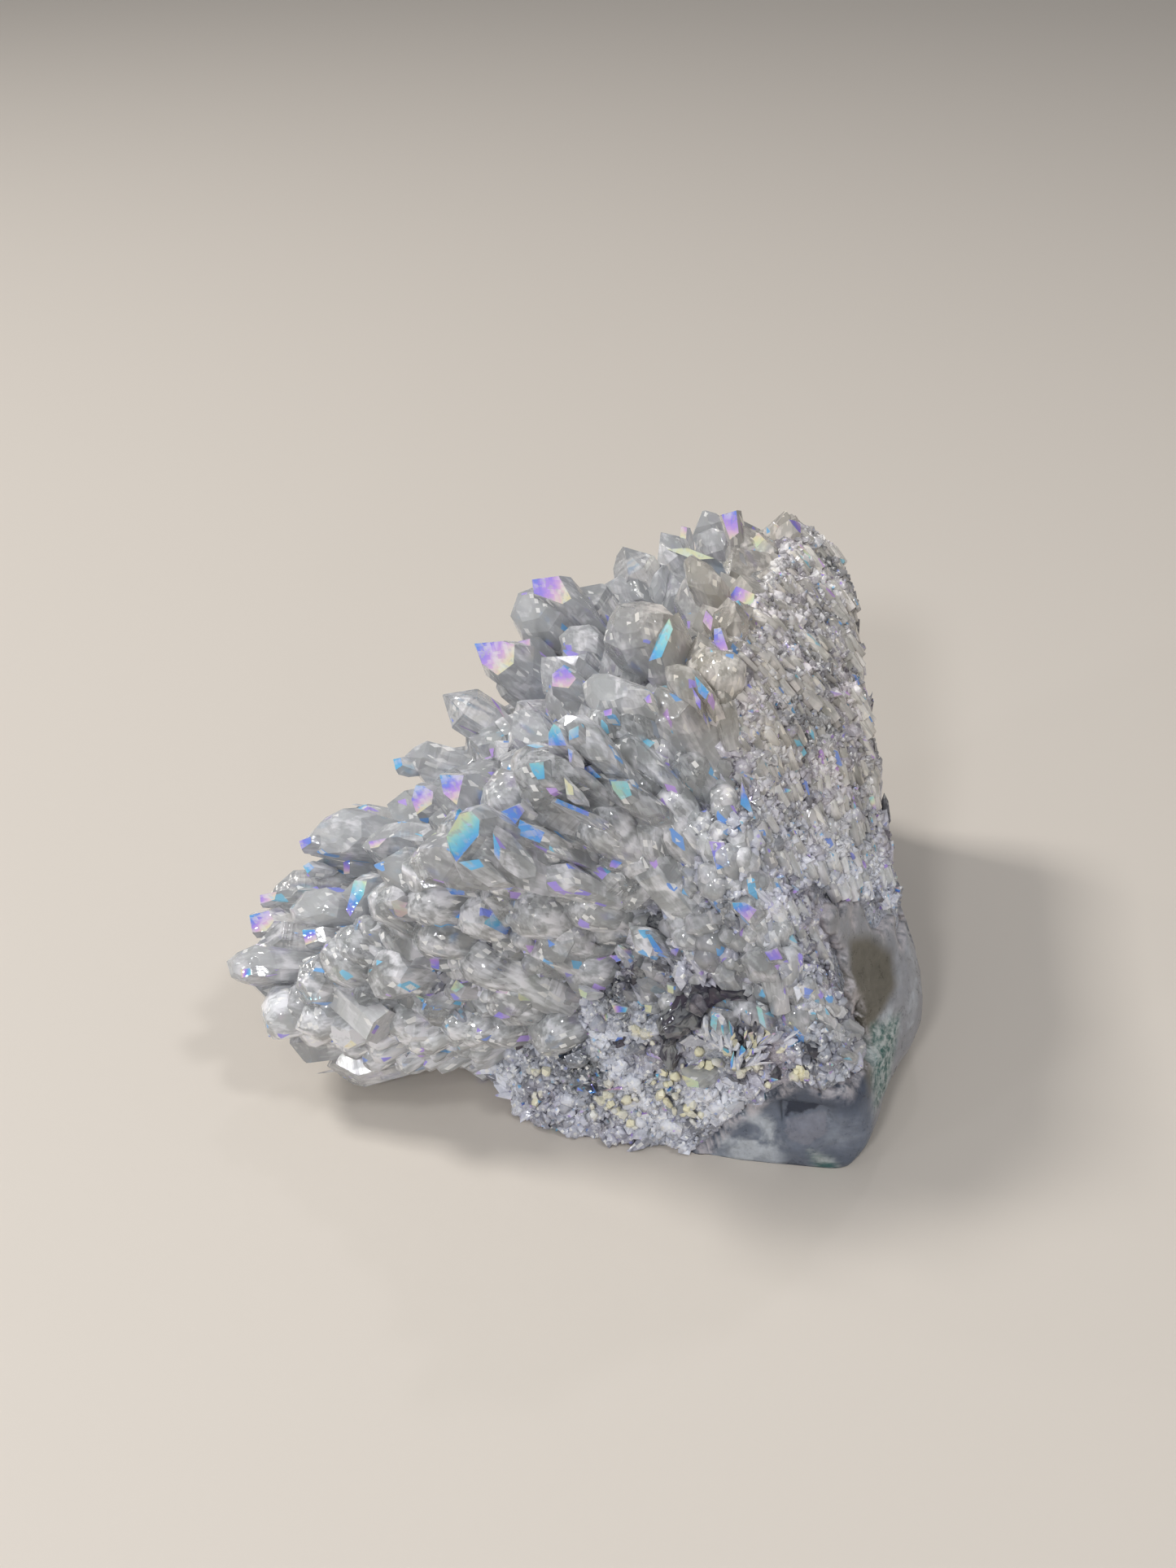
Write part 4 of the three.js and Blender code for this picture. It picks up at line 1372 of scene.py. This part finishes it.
# broken crystals, seen along their length on the breaks: narrowing towards the place they grew from
columnFills = [
    {"where": "left", "gap": 3.4, "widths": (3.6, 6.2), "clears": (0.8, 1.0), "out": 0.7, "lean": 0.14,
     "pale": (0.05, 0.35), "film": 0.05},
    {"where": "left", "gap": 2.3, "widths": (1.4, 3.0), "clears": (0.5, 0.95), "out": 0.8, "lean": 0.18,
     "pale": (-0.35, 0.25), "film": 0.06},
    {"where": "right", "gap": 1.9, "widths": (1.3, 3.0), "clears": (0.5, 0.9), "out": 0.6, "lean": 0.2,
     "pale": (-0.2, 0.3), "film": 0.05},
    {"where": "slope", "gap": 1.3, "widths": (0.6, 1.5), "clears": (0.0, 0.3), "out": 0.1, "lean": 0.09,
     "pale": (-0.05, 0.25), "film": 0.015},
]
columnLook = {
    "length": 2.0,
    "stretch": (0.8, 1.3),
    "taper": 0.05,
    "outward": {"left": 0.7, "right": 0.4, "slope": 0.04},
    "lift": {"most": 0.85, "z": 20, "reach": 10, "fromX": -28, "toX": -18},
    "sunk": 0.1,
    "lowest": 8,
    "lowFront": {"y": -14, "z": 33},  # in front of and under this there is only sugar
    "slivers": 1.0,  # bright splinters inside, for each mm of width
}


def risingGrowth(p, grown):
    # the long crystals low on the left stand up more steeply
    look = columnLook["lift"]
    share = np.exp(-((p[:, 2] - look["z"]) / look["reach"]) ** 2)
    share = share * np.clip((p[:, 0] - look["fromX"]) / (look["toX"] - look["fromX"]), 0, 1)
    return unit(grown + look["most"] * share[:, None] * np.array([0, 0, 1.0]))


def columnZones(p, looks):
    # left: the long crystals, right: the short ones beyond the groove, slope: the rough slope behind them
    front = looks[:, 1] < -0.45
    slope = slopeShare(looks) > 0.5
    left = front & (p[:, 0] < 3 + 0.42 * (p[:, 2] - 20)) & (p[:, 2] > 11)
    right = front & ~left & ~slope & (p[:, 2] > 17.5)
    return {"left": left, "right": right, "slope": slope & ~left, "sugar": front & ~left & ~right & ~slope}


placeZones = columnZones(places, placeLooks)
lobeLook = {
    "gap": 2.2, "sizes": (2.0, 4.4), "rise": (-0.5, 0.5), "tones": (0.8, 1.0), "clears": (0.35, 0.75),
}


def addLobe(heap):
    # milky rounded crystals low on the left
    random = np.random.default_rng(97)
    spot = picked(lobeLook["gap"], 98, (lobeShare(places) > 0.35) & (places[:, 2] > 1))
    many = len(spot)
    forms = [bluntForm(1500 + i, 1.6, 0.05, 11, 34) for i in range(8)]
    size = random.uniform(*lobeLook["sizes"], many)
    middles = places[spot] + placeLooks[spot] * random.uniform(*lobeLook["rise"], many)[:, None]
    kind = random.integers(0, len(forms), many)
    axes = unit(placeGrowth[spot] + 0.5 * placeLooks[spot])
    rotations = turned(axes, random.uniform(0, math.tau, many))
    middles = middles + axes * (0.35 * size)[:, None]
    for i, form in enumerate(forms):
        mine = kind == i
        sizes = size[mine, None] * random.uniform(0.8, 1.0, (mine.sum(), 3))
        tones = random.uniform(*lobeLook["tones"], mine.sum())
        clears = random.uniform(*lobeLook["clears"], mine.sum())
        heap.add(form, middles[mine], rotations[mine], sizes, tones, clears, 0.02, smooth=True)


def addSlivers(heap, forms, tips, axes, widths, lengths, clears):
    # thin bright splinters inside the clear crystals, along them
    random = heap.random
    counts = (columnLook["slivers"] * widths * clears).astype(int)
    host = np.repeat(np.arange(len(tips)), counts)
    many = len(host)
    down = random.uniform(0.25, 0.75, many) * lengths[host]
    off = random.normal(0, 0.16, (many, 3)) * widths[host, None]
    middles = tips[host] - axes[host] * down[:, None] + off
    along = unit(axes[host] + random.normal(0, 0.14, (many, 3)))
    rotations = turned(along, random.uniform(0, math.pi, many))
    kind = random.integers(0, len(forms), many)
    for i, form in enumerate(forms):
        mine = kind == i
        sizes = np.stack([
            random.uniform(0.15, 0.45, mine.sum()) * np.sqrt(widths[host][mine]),
            random.uniform(0.03, 0.08, mine.sum()),
            random.uniform(0.2, 0.5, mine.sum()) * lengths[host][mine],
        ], 1)
        tones = random.uniform(0.6, 1.1, mine.sum())
        heap.add(form, middles[mine], rotations[mine], sizes, tones, film=0.14)


sliverForms = [shardForm(500 + i) for i in range(6)]
innerHeap = Heap(22)


def skinUnder(found):
    # the skin and its outward way below some places near it
    ways = unit(np.array(found, float) - centre)
    return skinPoints(ways), outward(ways)


lensRim = {  # the dark rim round the big broken crystal low on the front: x, z and how thick
    "path": [(9.4, 12.6, 1.8), (9.3, 14.4, 2.4), (9.8, 16.2, 2.8), (10.9, 17.9, 3.0), (12.3, 19.3, 2.8),
             (13.9, 20.2, 2.3), (15.6, 20.4, 1.6), (17.2, 19.9, 1.0)],
    "inside": [(9, 12), (9, 17), (12, 20.5), (17, 20.6), (20, 17), (20, 12), (15, 10.5)],
    "y": -28.5,
    "out": 0.25,
    "tones": (-0.25, 0.05),
    "clears": (0.2, 0.5),
}
smokyAndShadowLook = {"shape": (1.5, 1.0, 0.5), "out": 0.35, "tones": (-0.25, 0.02), "clears": (0.2, 0.5)}


def addSmokyAndShadow(heap):
    # smoky clear patches with crisp edges, a little proud of the sugar; the one in the notch low on the left
    # is a dark patch that paints the notch's shadow
    random = np.random.default_rng(96)
    look = smokyAndShadowLook
    for index, (*place, radius) in enumerate(spots["smokyAndShadow"]):
        under, looks = skinUnder([place])
        form = grainForm(1600 + index, 13)
        rotation = turned(looks, random.uniform(0, math.tau, 1))
        sizes = radius * np.array(look["shape"]) * random.uniform(0.8, 1.1, 3)
        tips = under + looks * look["out"]
        tone, clear = random.uniform(*look["tones"]), random.uniform(*look["clears"])
        heap.add(form, tips, rotation, sizes[None], tone, clear, 0.05)
    path = np.array([(x, lensRim["y"], z) for x, z, thick in lensRim["path"]])
    under, looks = skinUnder(path)
    middles = under + looks * lensRim["out"]
    steps = np.gradient(middles, axis=0)
    lengths = 2.0 * np.linalg.norm(steps, axis=1)
    rotations = turned(unit(steps), random.uniform(0, math.tau, len(path)))
    for i, (x, z, thick) in enumerate(lensRim["path"]):
        for part in range(3):
            form = grainForm(1630 + 10 * i + part, 11)
            sizes = np.array([[thick, thick, lengths[i]]]) * random.uniform(0.5, 0.95, 3)
            place = middles[i:i + 1] + random.normal(0, 0.13 * thick, (1, 3))
            tone, clear = random.uniform(*lensRim["tones"]), random.uniform(*lensRim["clears"])
            heap.add(form, place, rotations[i:i + 1], sizes, tone, clear)


def makeColumns():
    heap = Heap(23)
    look = columnLook
    for tip, axis, width, length, index in brokenCrystals:
        along = tip - axis * length * np.array([[0], [0.4], [0.8]])
        onSlope = slopeShare(outward(unit(tip[None] - centre)))[0] > 0.2
        lowFront = tip[1] < look["lowFront"]["y"] and tip[2] < look["lowFront"]["z"]
        if rindShare(along, shownBands).max() > 0.2 or tip[2] < look["lowest"] or onSlope or lowFront:
            continue
        rotation = turned(axis[None], np.array([chance(index, 12) * math.pi]))
        form = quartzForm(index, width, length, 0.3)
        tone = wideTone(tip[None]) + 0.15
        heap.add(form, tip[None], rotation, 1.0, tone, 0.9, 0.04, 0.3 / width, 6)
    addHeroes(heap, "front")
    addSmokyAndShadow(heap)
    addLobe(heap)
    forms = [bluntForm(700 + i, look["length"], look["taper"], 11, 34) for i in range(5)]
    forms += [bluntForm(710 + i, look["length"], look["taper"]) for i in range(5)]
    forms += [quartzForm(720 + i, 1, look["length"], 0.36, look["taper"] * look["length"]) for i in range(4)]
    for seed, fill in enumerate(columnFills):
        spot = picked(fill["gap"], 33 + seed, ~placeDrusy & placeZones[fill["where"]] & (placeRind == 0))
        random = np.random.default_rng(43 + seed)
        many = len(spot)
        widths = random.uniform(*fill["widths"], many)
        grown = risingGrowth(places[spot], placeGrowth[spot])
        tilt = np.einsum("ij,ij->i", grown, placeLooks[spot])
        axes = grown + placeLooks[spot] * (look["outward"][fill["where"]] - tilt)[:, None]
        axes = unit(axes + random.normal(0, fill["lean"], (many, 3)))
        rise = axes * (fill["out"] * widths)[:, None]
        tips = places[spot] + rise - placeLooks[spot] * look["sunk"] * widths[:, None]
        roots = tips - axes * (look["length"] * widths)[:, None]
        widths = np.where(rindShare(roots, shownBands) > 0.5, 0.45 * widths, widths)
        kind = random.integers(0, len(forms), many)
        kind = np.where(lobeShare(tips) > 0.1, kind % 10, kind)
        stretch = random.uniform(*look["stretch"], many)
        rotations = turned(axes, random.uniform(0, math.pi, many))
        tones = np.clip(wideTone(tips) + random.uniform(*fill["pale"], many), 0.2, 1.0)
        clears = random.uniform(*fill["clears"], many) * (1 - 0.4 * lobeShare(tips))
        for i, form in enumerate(forms):
            mine = kind == i
            sizes = np.stack([widths[mine], widths[mine], widths[mine] * stretch[mine]], 1)
            heap.add(
                form, tips[mine], rotations[mine], sizes, tones[mine], clears[mine], fill["film"],
                prismPlanes=6, smooth=i < 5,
            )
        if fill["where"] == "left":
            lengths = look["length"] * widths * stretch
            addSlivers(innerHeap, sliverForms, tips, axes, widths, lengths, clears)
    return heap.piece("broken_columns", brokenQuartz)


def makeInner():
    tips, axes, widths, lengths = (np.array([crystal[i] for crystal in wholeCrystals]) for i in range(4))
    addSlivers(innerHeap, sliverForms, tips, axes, widths, lengths, np.full(len(tips), 0.5))
    return innerHeap.piece("inner_veils", innerVeil)


columnPiece = makeColumns()
innerPiece = makeInner()


# splinters on the breaks, lying the way the crystals grew
shardFills = [  # gap, width, length, how much stands out of the skin
    {"gap": 1.9, "width": (0.8, 1.6), "length": (1.8, 3.8), "out": 0.1},
    {"gap": 1.2, "width": (0.45, 0.95), "length": (1.0, 2.6), "out": 0.2},
]
shardLook = {
    "forms": 12,
    "outward": 0.06,
    "tilt": 0.13,
    "film": 0.03,
    "shares": {"left": 0.2, "right": 0.2, "slope": 0.0, "sugar": 0.03},
}


def makeShards():
    heap = Heap(24)
    look = shardLook
    forms = [shardForm(900 + i, 4 + i % 3) for i in range(look["forms"])]
    allowed = ~placeDrusy & (placeRind < 0.1) & (places[:, 2] > 0.3)
    share = np.full(len(places), 0.45)
    for zone, value in look["shares"].items():
        share[placeZones[zone]] = value
    for seed, fill in enumerate(shardFills):
        spot = picked(fill["gap"], 61 + seed, allowed)
        random = np.random.default_rng(71 + seed)
        spot = spot[random.random(len(spot)) < share[spot]]
        many = len(spot)
        grown = risingGrowth(places[spot], placeGrowth[spot])
        tilt = np.einsum("ij,ij->i", grown, placeLooks[spot])
        axes = grown + placeLooks[spot] * (look["outward"] - tilt)[:, None]
        axes = unit(axes + random.normal(0, look["tilt"], (many, 3)))
        width = random.uniform(*fill["width"], many)
        length = random.uniform(*fill["length"], many)
        middles = places[spot] + placeLooks[spot] * ((fill["out"] - 0.1) * width)[:, None]
        tones = wideTone(middles) + random.normal(0, 0.16, many)
        clears = np.where(random.random(many) < 0.3, random.uniform(0.4, 0.9, many), 0.0)
        kind = random.integers(0, len(forms), many)
        rotations = turned(axes, random.uniform(0, math.tau, many))
        for i, form in enumerate(forms):
            mine = kind == i
            sizes = np.stack([width[mine], width[mine], length[mine]], 1)
            heap.add(form, middles[mine], rotations[mine], sizes, tones[mine], clears[mine], look["film"])
    return heap.piece("quartz_shards", quartzShards)


# rounded sugar: lumps and finer grains, half sunk into the skin
grainFills = [  # gap, least and greatest size, how far the middle stands out
    {"gap": 1.2, "sizes": (0.7, 1.7), "rise": (-0.45, -0.05), "forms": 10, "sides": 13},
    {"gap": 0.63, "sizes": (0.3, 0.75), "rise": (-0.1, 0.18), "forms": 8, "sides": 7},
]
grainLook = {
    "shares": {"left": (0.15, 0.3), "right": (0.3, 0.55), "slope": (0.3, 0.8), "sugar": (0.5, 0.95)},
    "elsewhere": (0.6, 0.5),
    "film": 0.03,
}


def makeGrains():
    heap = Heap(25)
    allowed = (placeRind < 0.2) & (places[:, 2] > 0.3) & (~placeDrusy | (lobeShare(places) > 0.5))
    for seed, fill in enumerate(grainFills):
        forms = [grainForm(1200 + 40 * seed + i, fill["sides"]) for i in range(fill["forms"])]
        share = np.full(len(places), grainLook["elsewhere"][seed])
        for zone, values in grainLook["shares"].items():
            share[placeZones[zone]] = values[seed]
        share = np.maximum(share, 0.9 * grooveShare(places) * (placeLooks[:, 1] < -0.3))
        share = share * (1 - 0.9 * nearSpots(places, spots["smokyAndShadow"]))
        share = share * (1 - 0.8 * insideShare(places, lensRim["inside"], 0.5) * (places[:, 1] < -20))
        spot = picked(fill["gap"], 81 + seed, allowed)
        random = np.random.default_rng(84 + seed)
        spot = spot[random.random(len(spot)) < share[spot]]
        many = len(spot)
        size = random.uniform(*fill["sizes"], many)
        middles = places[spot] + placeLooks[spot] * random.uniform(*fill["rise"], many)[:, None]
        thick = grooveShare(middles)
        tones = wideTone(middles) + random.normal(0.06, 0.06 + 0.2 * thick, many)
        clears = np.where(random.random(many) < 0.15, 0.8, 0.0)
        kind = random.integers(0, len(forms), many)
        rotations = turned(unit(random.normal(size=(many, 3))), random.uniform(0, math.tau, many))
        for i, form in enumerate(forms):
            mine = kind == i
            sizes = size[mine, None] * random.uniform(0.7, 1.3, (mine.sum(), 3))
            heap.add(
                form, middles[mine], rotations[mine], sizes, tones[mine], clears[mine], grainLook["film"],
                smooth=i % 3 > 0,
            )
    addGlints(heap)
    addFan(heap)
    return heap.piece("sugar_grains", quartzGrains)


glintLook = {"each": 10, "widths": (0.4, 1.15), "lengths": (1.3, 2.4), "out": (0.5, 1.1)}


def addGlints(heap):
    # small crystals in clusters, standing up, painted cream as glints of warm light
    look = glintLook
    random = np.random.default_rng(99)
    forms = [bluntForm(1650 + i, 1.0, 0.1, 6, 14) for i in range(5)]
    for *place, radius in spots["paintedGlints"]:
        many = look["each"]
        found = np.array(place) + random.normal(0, 0.5 * radius, (many, 3))
        under, looks = skinUnder(found)
        tips = under + looks * random.uniform(*look["out"], many)[:, None]
        axes = unit(0.6 * looks + [0, 0, 0.8] + random.normal(0, 0.2, (many, 3)))
        widths = random.uniform(*look["widths"], many)
        for i, form in enumerate(forms):
            mine = np.arange(many) % len(forms) == i
            lengths = widths[mine] * random.uniform(*look["lengths"], mine.sum())
            sizes = np.stack([widths[mine], widths[mine], lengths], 1)
            rotations = turned(axes[mine], random.uniform(0, math.tau, mine.sum()))
            creams = random.uniform(0.25, 1.0, mine.sum())
            heap.add(form, tips[mine], rotations, sizes, 0.9, 0.1, 0.0, creams=creams, smooth=i > 2)


fanLook = {  # bright splinters spreading up inside that rim
    "foot": (15.4, -28.9, 11.4),
    "turns": (30, 126),
    "count": 64,
    "starts": (1.0, 6.2),
    "lengths": (1.1, 2.8),
    "widths": (0.3, 0.9),
    "scatter": 0.18,
}


def addFan(heap):
    random = np.random.default_rng(95)
    look = fanLook
    many = look["count"]
    turns = np.radians(random.uniform(*look["turns"], many))
    axes = unit(np.stack([np.cos(turns), random.normal(-0.06, 0.06, many), np.sin(turns)], 1))
    ways = unit(axes + random.normal(0, look["scatter"], (many, 3)))
    lengths = random.uniform(*look["lengths"], many)
    starts = random.uniform(*look["starts"], many)
    middles = np.array(look["foot"]) + axes * (starts + 0.5 * lengths)[:, None]
    middles[:, 1] = look["foot"][1] - random.uniform(0.0, 0.5, many)
    widths = random.uniform(*look["widths"], many)
    rotations = turned(ways, random.uniform(0, math.tau, many))
    for i, form in enumerate(sliverForms):
        mine = np.arange(many) % len(sliverForms) == i
        sizes = np.stack([widths[mine], 0.6 * widths[mine], lengths[mine]], 1)
        tones = random.choice([0.2, 0.7, 0.95, 1.1], mine.sum())
        # a fifth of the splinters painted cream as warm glints
        creams = np.where(random.random(mine.sum()) < 0.2, 0.8, 0.0)
        heap.add(form, middles[mine], rotations[mine], sizes, tones, 0.2, 0.1, creams=creams)


shardPiece = makeShards()
grainPiece = makeGrains()


# the skin under them, and the rind
skinLook = {"gridSide": 110, "swell": 0.5, "under": 0.05}


def cubeSphere(side):
    # directions and quads of a cube's grid, with the shared edges joined
    steps = np.tan(np.linspace(-1, 1, side + 1) * math.pi / 4)
    u, v = np.meshgrid(steps, steps, indexing="ij")
    one = np.ones_like(u)
    sheets = [(one, u, v), (-one, v, u), (v, one, u), (u, -one, v), (u, v, one), (v, u, -one)]
    points = np.concatenate([np.stack(sheet, -1).reshape(-1, 3) for sheet in sheets])
    rounded = np.round(points, 6)
    first, back = np.unique(rounded, axis=0, return_index=True, return_inverse=True)[1:]
    corner = np.arange((side + 1) ** 2).reshape(side + 1, side + 1)
    quad = np.stack([corner[:-1, :-1], corner[1:, :-1], corner[1:, 1:], corner[:-1, 1:]], -1)
    quads = np.concatenate([quad.reshape(-1, 4) + i * (side + 1) ** 2 for i in range(6)])
    return unit(points[first]), back.reshape(-1)[quads]


gridWays, gridQuads = cubeSphere(skinLook["gridSide"])
gridSkin = crowned(skinPoints(gridWays), gridWays)


def makeSkin():
    share = rindShare(gridSkin, shownBands)
    rough = skinLook["swell"] * (0.6 * ripples(gridSkin, 1.4, 91) + 0.4 * ripples(gridSkin, 0.8, 92))
    skin = gridSkin + gridWays * ((rough - skinLook["under"]) * (1 - share) - share)[:, None]
    skin[:, 2] = np.maximum(skin[:, 2], 0)
    looks = outward(gridWays)
    drusy = looks @ drusyWay > drusyLimit
    # painted shade: under and between the crystals the skin is darker and warm brown
    shadedBetween = np.maximum(drusy, columnZones(gridSkin, looks)["left"])
    tone = wideTone(gridSkin) + 0.06 - 0.3 * shadedBetween
    teal = nearSpots(gridSkin, spots["teal"])
    values = {"tone": tone, "teal": teal, "gap": 0.55 * shadedBetween * (1 - lobeShare(gridSkin))}
    sizes = np.full(len(gridQuads), 4)
    return makePiece("sugary_skin", skin, gridQuads.ravel(), sizes, sugaryQuartz, values, smooth=True)


rindLook = {
    "thickness": 3.0,
    "proud": 0.3,
    "rimWidth": 0.7,
    "raggedness": 0.5,
    "markedTo": 0,  # the marks seen from the front fade out before this y
    "markFade": 9,
    "swell": 0.25,
    "edge": 0.3,
    "front": -24,
    "notch": {"outline": [(19.9, 7.6), (24.4, 8.2), (24, 6.4), (20.2, 4.8)], "depth": 1.1},
    "plate": {"outline": [(20.2, 4.9), (24.6, 7.2), (24.6, 3.4), (22.2, 1.2), (20.2, 2.4)], "rise": 0.35},
}
rindMarks = {  # outlines seen from the front, the fade at their edges, and how strong
    "facet": [([(22, 26), (38, 26), (38, 0), (29.2, 4), (28.4, 9), (26, 15), (23, 20)], 1.0, 0.85)],
    "olive": [([(26.4, 20.2), (29, 18.4), (31.4, 15.8), (31.8, 13), (29.6, 12), (28.6, 7.6), (27.2, 12),
               (26.4, 16.5)], 0.9, 0.9)],
    # painted shadow: the dark band under the overhanging lip
    "shadowBand": [([(18.5, 10.4), (28.4, 9.6), (28.4, 7.4), (24, 7.4), (20, 6.9), (17.6, 8.2)], 1.3, 0.75)],
    "pale": [([(13, 5), (16.5, 6.5), (20, 5), (20.3, 1), (20, -1), (12, -1)], 2.0, 1.0),
             ([(32.6, 17), (36, 13), (36, 9), (33.4, 9.6), (32.4, 13)], 1.5, 0.6),
             ([(28.6, 13), (29.4, 13.6), (32, 11), (34.2, 8.2), (33.4, 7.6), (31, 10.4)], 0.5, 1.0)],
    "teal": [([(28.9, 12), (32.3, 10.3), (32.2, 8.8), (31, 4.6), (29.2, 5.5), (28.8, 9)], 0.9, 1.0),
             ([(22.8, 2.6), (25, 1.4), (26, 0), (23.6, -0.4)], 0.7, 0.9)],
}


def rindMark(points, key):
    marks = [insideShare(points, outline, fade) * strength for outline, fade, strength in rindMarks[key]]
    ragged = points[:, 1] + 3 * ripples(points, 9, 95)
    return np.max(marks, axis=0) * np.clip((rindLook["markedTo"] - ragged) / rindLook["markFade"], 0, 1)


def makeRind():
    ragged = rindDepth(gridSkin, shownBands) + rindLook["raggedness"] * ripples(gridSkin, 2.0, 93)
    keep = (ragged[gridQuads] > 0.2).all(1)
    used = np.unique(gridQuads[keep])
    renumber = np.full(len(gridSkin), -1)
    renumber[used] = np.arange(len(used))
    quads = renumber[gridQuads[keep]]
    edges = np.concatenate([quads[:, [i, (i + 1) % 4]] for i in range(4)])
    keys = np.sort(edges, axis=1) @ np.array([len(used), 1])
    first, times = np.unique(keys, return_index=True, return_counts=True)[1:]
    border = edges[first[times == 1]]
    ways, depth = gridWays[used], ragged[used]
    proud = rindLook["proud"] * np.clip(depth / rindLook["rimWidth"], 0.2, 1)
    proud = proud + rindLook["swell"] * ripples(gridSkin[used], 6, 94) * np.clip(depth / 2, 0, 1)
    outer = gridSkin[used]
    front = outer[:, 1] < rindLook["front"]
    notch, plate, edge = (rindLook[key] for key in ("notch", "plate", "edge"))
    proud = proud - notch["depth"] * insideShare(outer, notch["outline"], edge) * front
    proud = proud + plate["rise"] * insideShare(outer, plate["outline"], edge) * front
    outer = outer + ways * proud[:, None]
    inner = gridSkin[used] - ways * rindLook["thickness"]
    points = np.concatenate([outer, inner])
    points[:, 2] = np.maximum(points[:, 2], 0)
    points = np.clip(points, boxLow + 0.01, boxHigh - 0.01)
    n = len(used)
    walls = np.stack([border[:, 1], border[:, 0], border[:, 0] + n, border[:, 1] + n], 1)
    allQuads = np.concatenate([quads, quads[:, ::-1] + n, walls])
    values = {"rim": np.clip(1.4 - depth / rindLook["rimWidth"], 0, 1)}
    for key in rindMarks:
        values[key] = rindMark(outer, key)
    values = {key: np.concatenate([value, value]) for key, value in values.items()}
    sizes = np.full(len(allQuads), 4)
    return makePiece("agate_rind", points, allQuads.ravel(), sizes, agateRind, values, smooth=True)


skinPiece = makeSkin()
rindPiece = makeRind()

for piece, finish in (
    (crystalPiece, "quartz"), (innerPiece, "quartz"), (columnPiece, "broken_quartz"),
    (shardPiece, "broken_quartz"), (grainPiece, "broken_quartz"), (skinPiece, "broken_quartz"),
    (rindPiece, "agate_rind"),
):
    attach(piece, "root")
    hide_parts("quartz_cluster")
print("pieces made")


# floor, light and camera
studio = {
    "floorColour": (0.66, 0.61, 0.55),
    "floorSize": 3.0,
    "airColour": (0.97, 0.98, 1.0),
    "airStrength": (0.11, 0.30),  # below and above
    "lamps": [  # place, side, power and colour
        ((-0.42, 0.12, 0.6), 0.13, 2.2, (1.0, 0.98, 0.95)),
        ((-0.25, -0.6, 0.5), 0.1, 1.4, (0.97, 0.98, 1.0)),
        ((0.32, -0.2, 0.7), 0.09, 0.8, (0.97, 0.98, 1.0)),
        ((-0.6, -0.35, 0.3), 0.05, 0.2, (0.9, 0.94, 1.0)),
        ((0.05, 0.45, 0.75), 0.05, 0.2, (0.95, 0.92, 1.0)),
        ((0.0, -0.5, 0.85), 0.05, 0.2, (1.0, 0.97, 0.9)),
        ((-0.7, 0.3, 0.25), 0.05, 0.2, (1.0, 0.95, 0.88)),
        ((0.1, -0.8, 0.2), 0.05, 0.2, (0.92, 0.95, 1.0)),
    ],
}


def makeFloor():
    bpy.ops.mesh.primitive_plane_add(size=studio["floorSize"], location=(0, 0, 0))
    floor = bpy.context.object
    floor.name = "floor"
    material, tree, shader = startMaterial("paleFloor")
    shader.inputs["Base Color"].default_value = (*studio["floorColour"], 1)
    shader.inputs["Roughness"].default_value = 0.6
    floor.data.materials.append(material)


def areaLight(name, place, side, power, colour):
    data = bpy.data.lights.new(name, "AREA")
    data.shape = "RECTANGLE"
    data.size, data.size_y = side, side
    data.energy = power
    data.color = colour
    lamp = bpy.data.objects.new(name, data)
    bpy.context.scene.collection.objects.link(lamp)
    lamp.location = place
    lamp.rotation_euler = (Vector((0, 0, 0.02)) - Vector(place)).to_track_quat("-Z", "Y").to_euler()


def makeCamera():
    data = bpy.data.cameras.new("camera")
    data.lens = cameraLook["lens"]
    data.sensor_width = cameraLook["sensor"]
    data.clip_start, data.clip_end = 0.005, 10
    camera = bpy.data.objects.new("camera", data)
    bpy.context.scene.collection.objects.link(camera)
    camera.location = (np.array(cameraLook["foot"]) + shiftToRow) * mm
    camera.rotation_euler = (math.radians(90 - cameraLook["pitch"]), 0, 0)
    bpy.context.scene.camera = camera


def makeStudio():
    makeFloor()
    for index, (place, side, power, colour) in enumerate(studio["lamps"]):
        areaLight(f"softBox{index + 1}", place, side, power, colour)
    world = bpy.data.worlds.new("studioAir")
    bpy.context.scene.world = world
    world.use_nodes = True
    tree = world.node_tree
    air = tree.nodes["Background"]
    way = node(tree, "ShaderNodeTexCoord").outputs["Generated"]
    up = node(tree, "ShaderNodeSeparateXYZ", {"Vector": way}).outputs["Z"]
    strength = mapRange(tree, up, -0.2, 0.8, *studio["airStrength"])
    air.inputs["Color"].default_value = (*studio["airColour"], 1)
    tree.links.new(strength, air.inputs["Strength"])
    bpy.context.scene.view_settings.view_transform = "Standard"
    bpy.context.scene.view_settings.look = "Medium High Contrast"
    makeCamera()


makeStudio()
print("studio made")

bpy.context.view_layer.update()
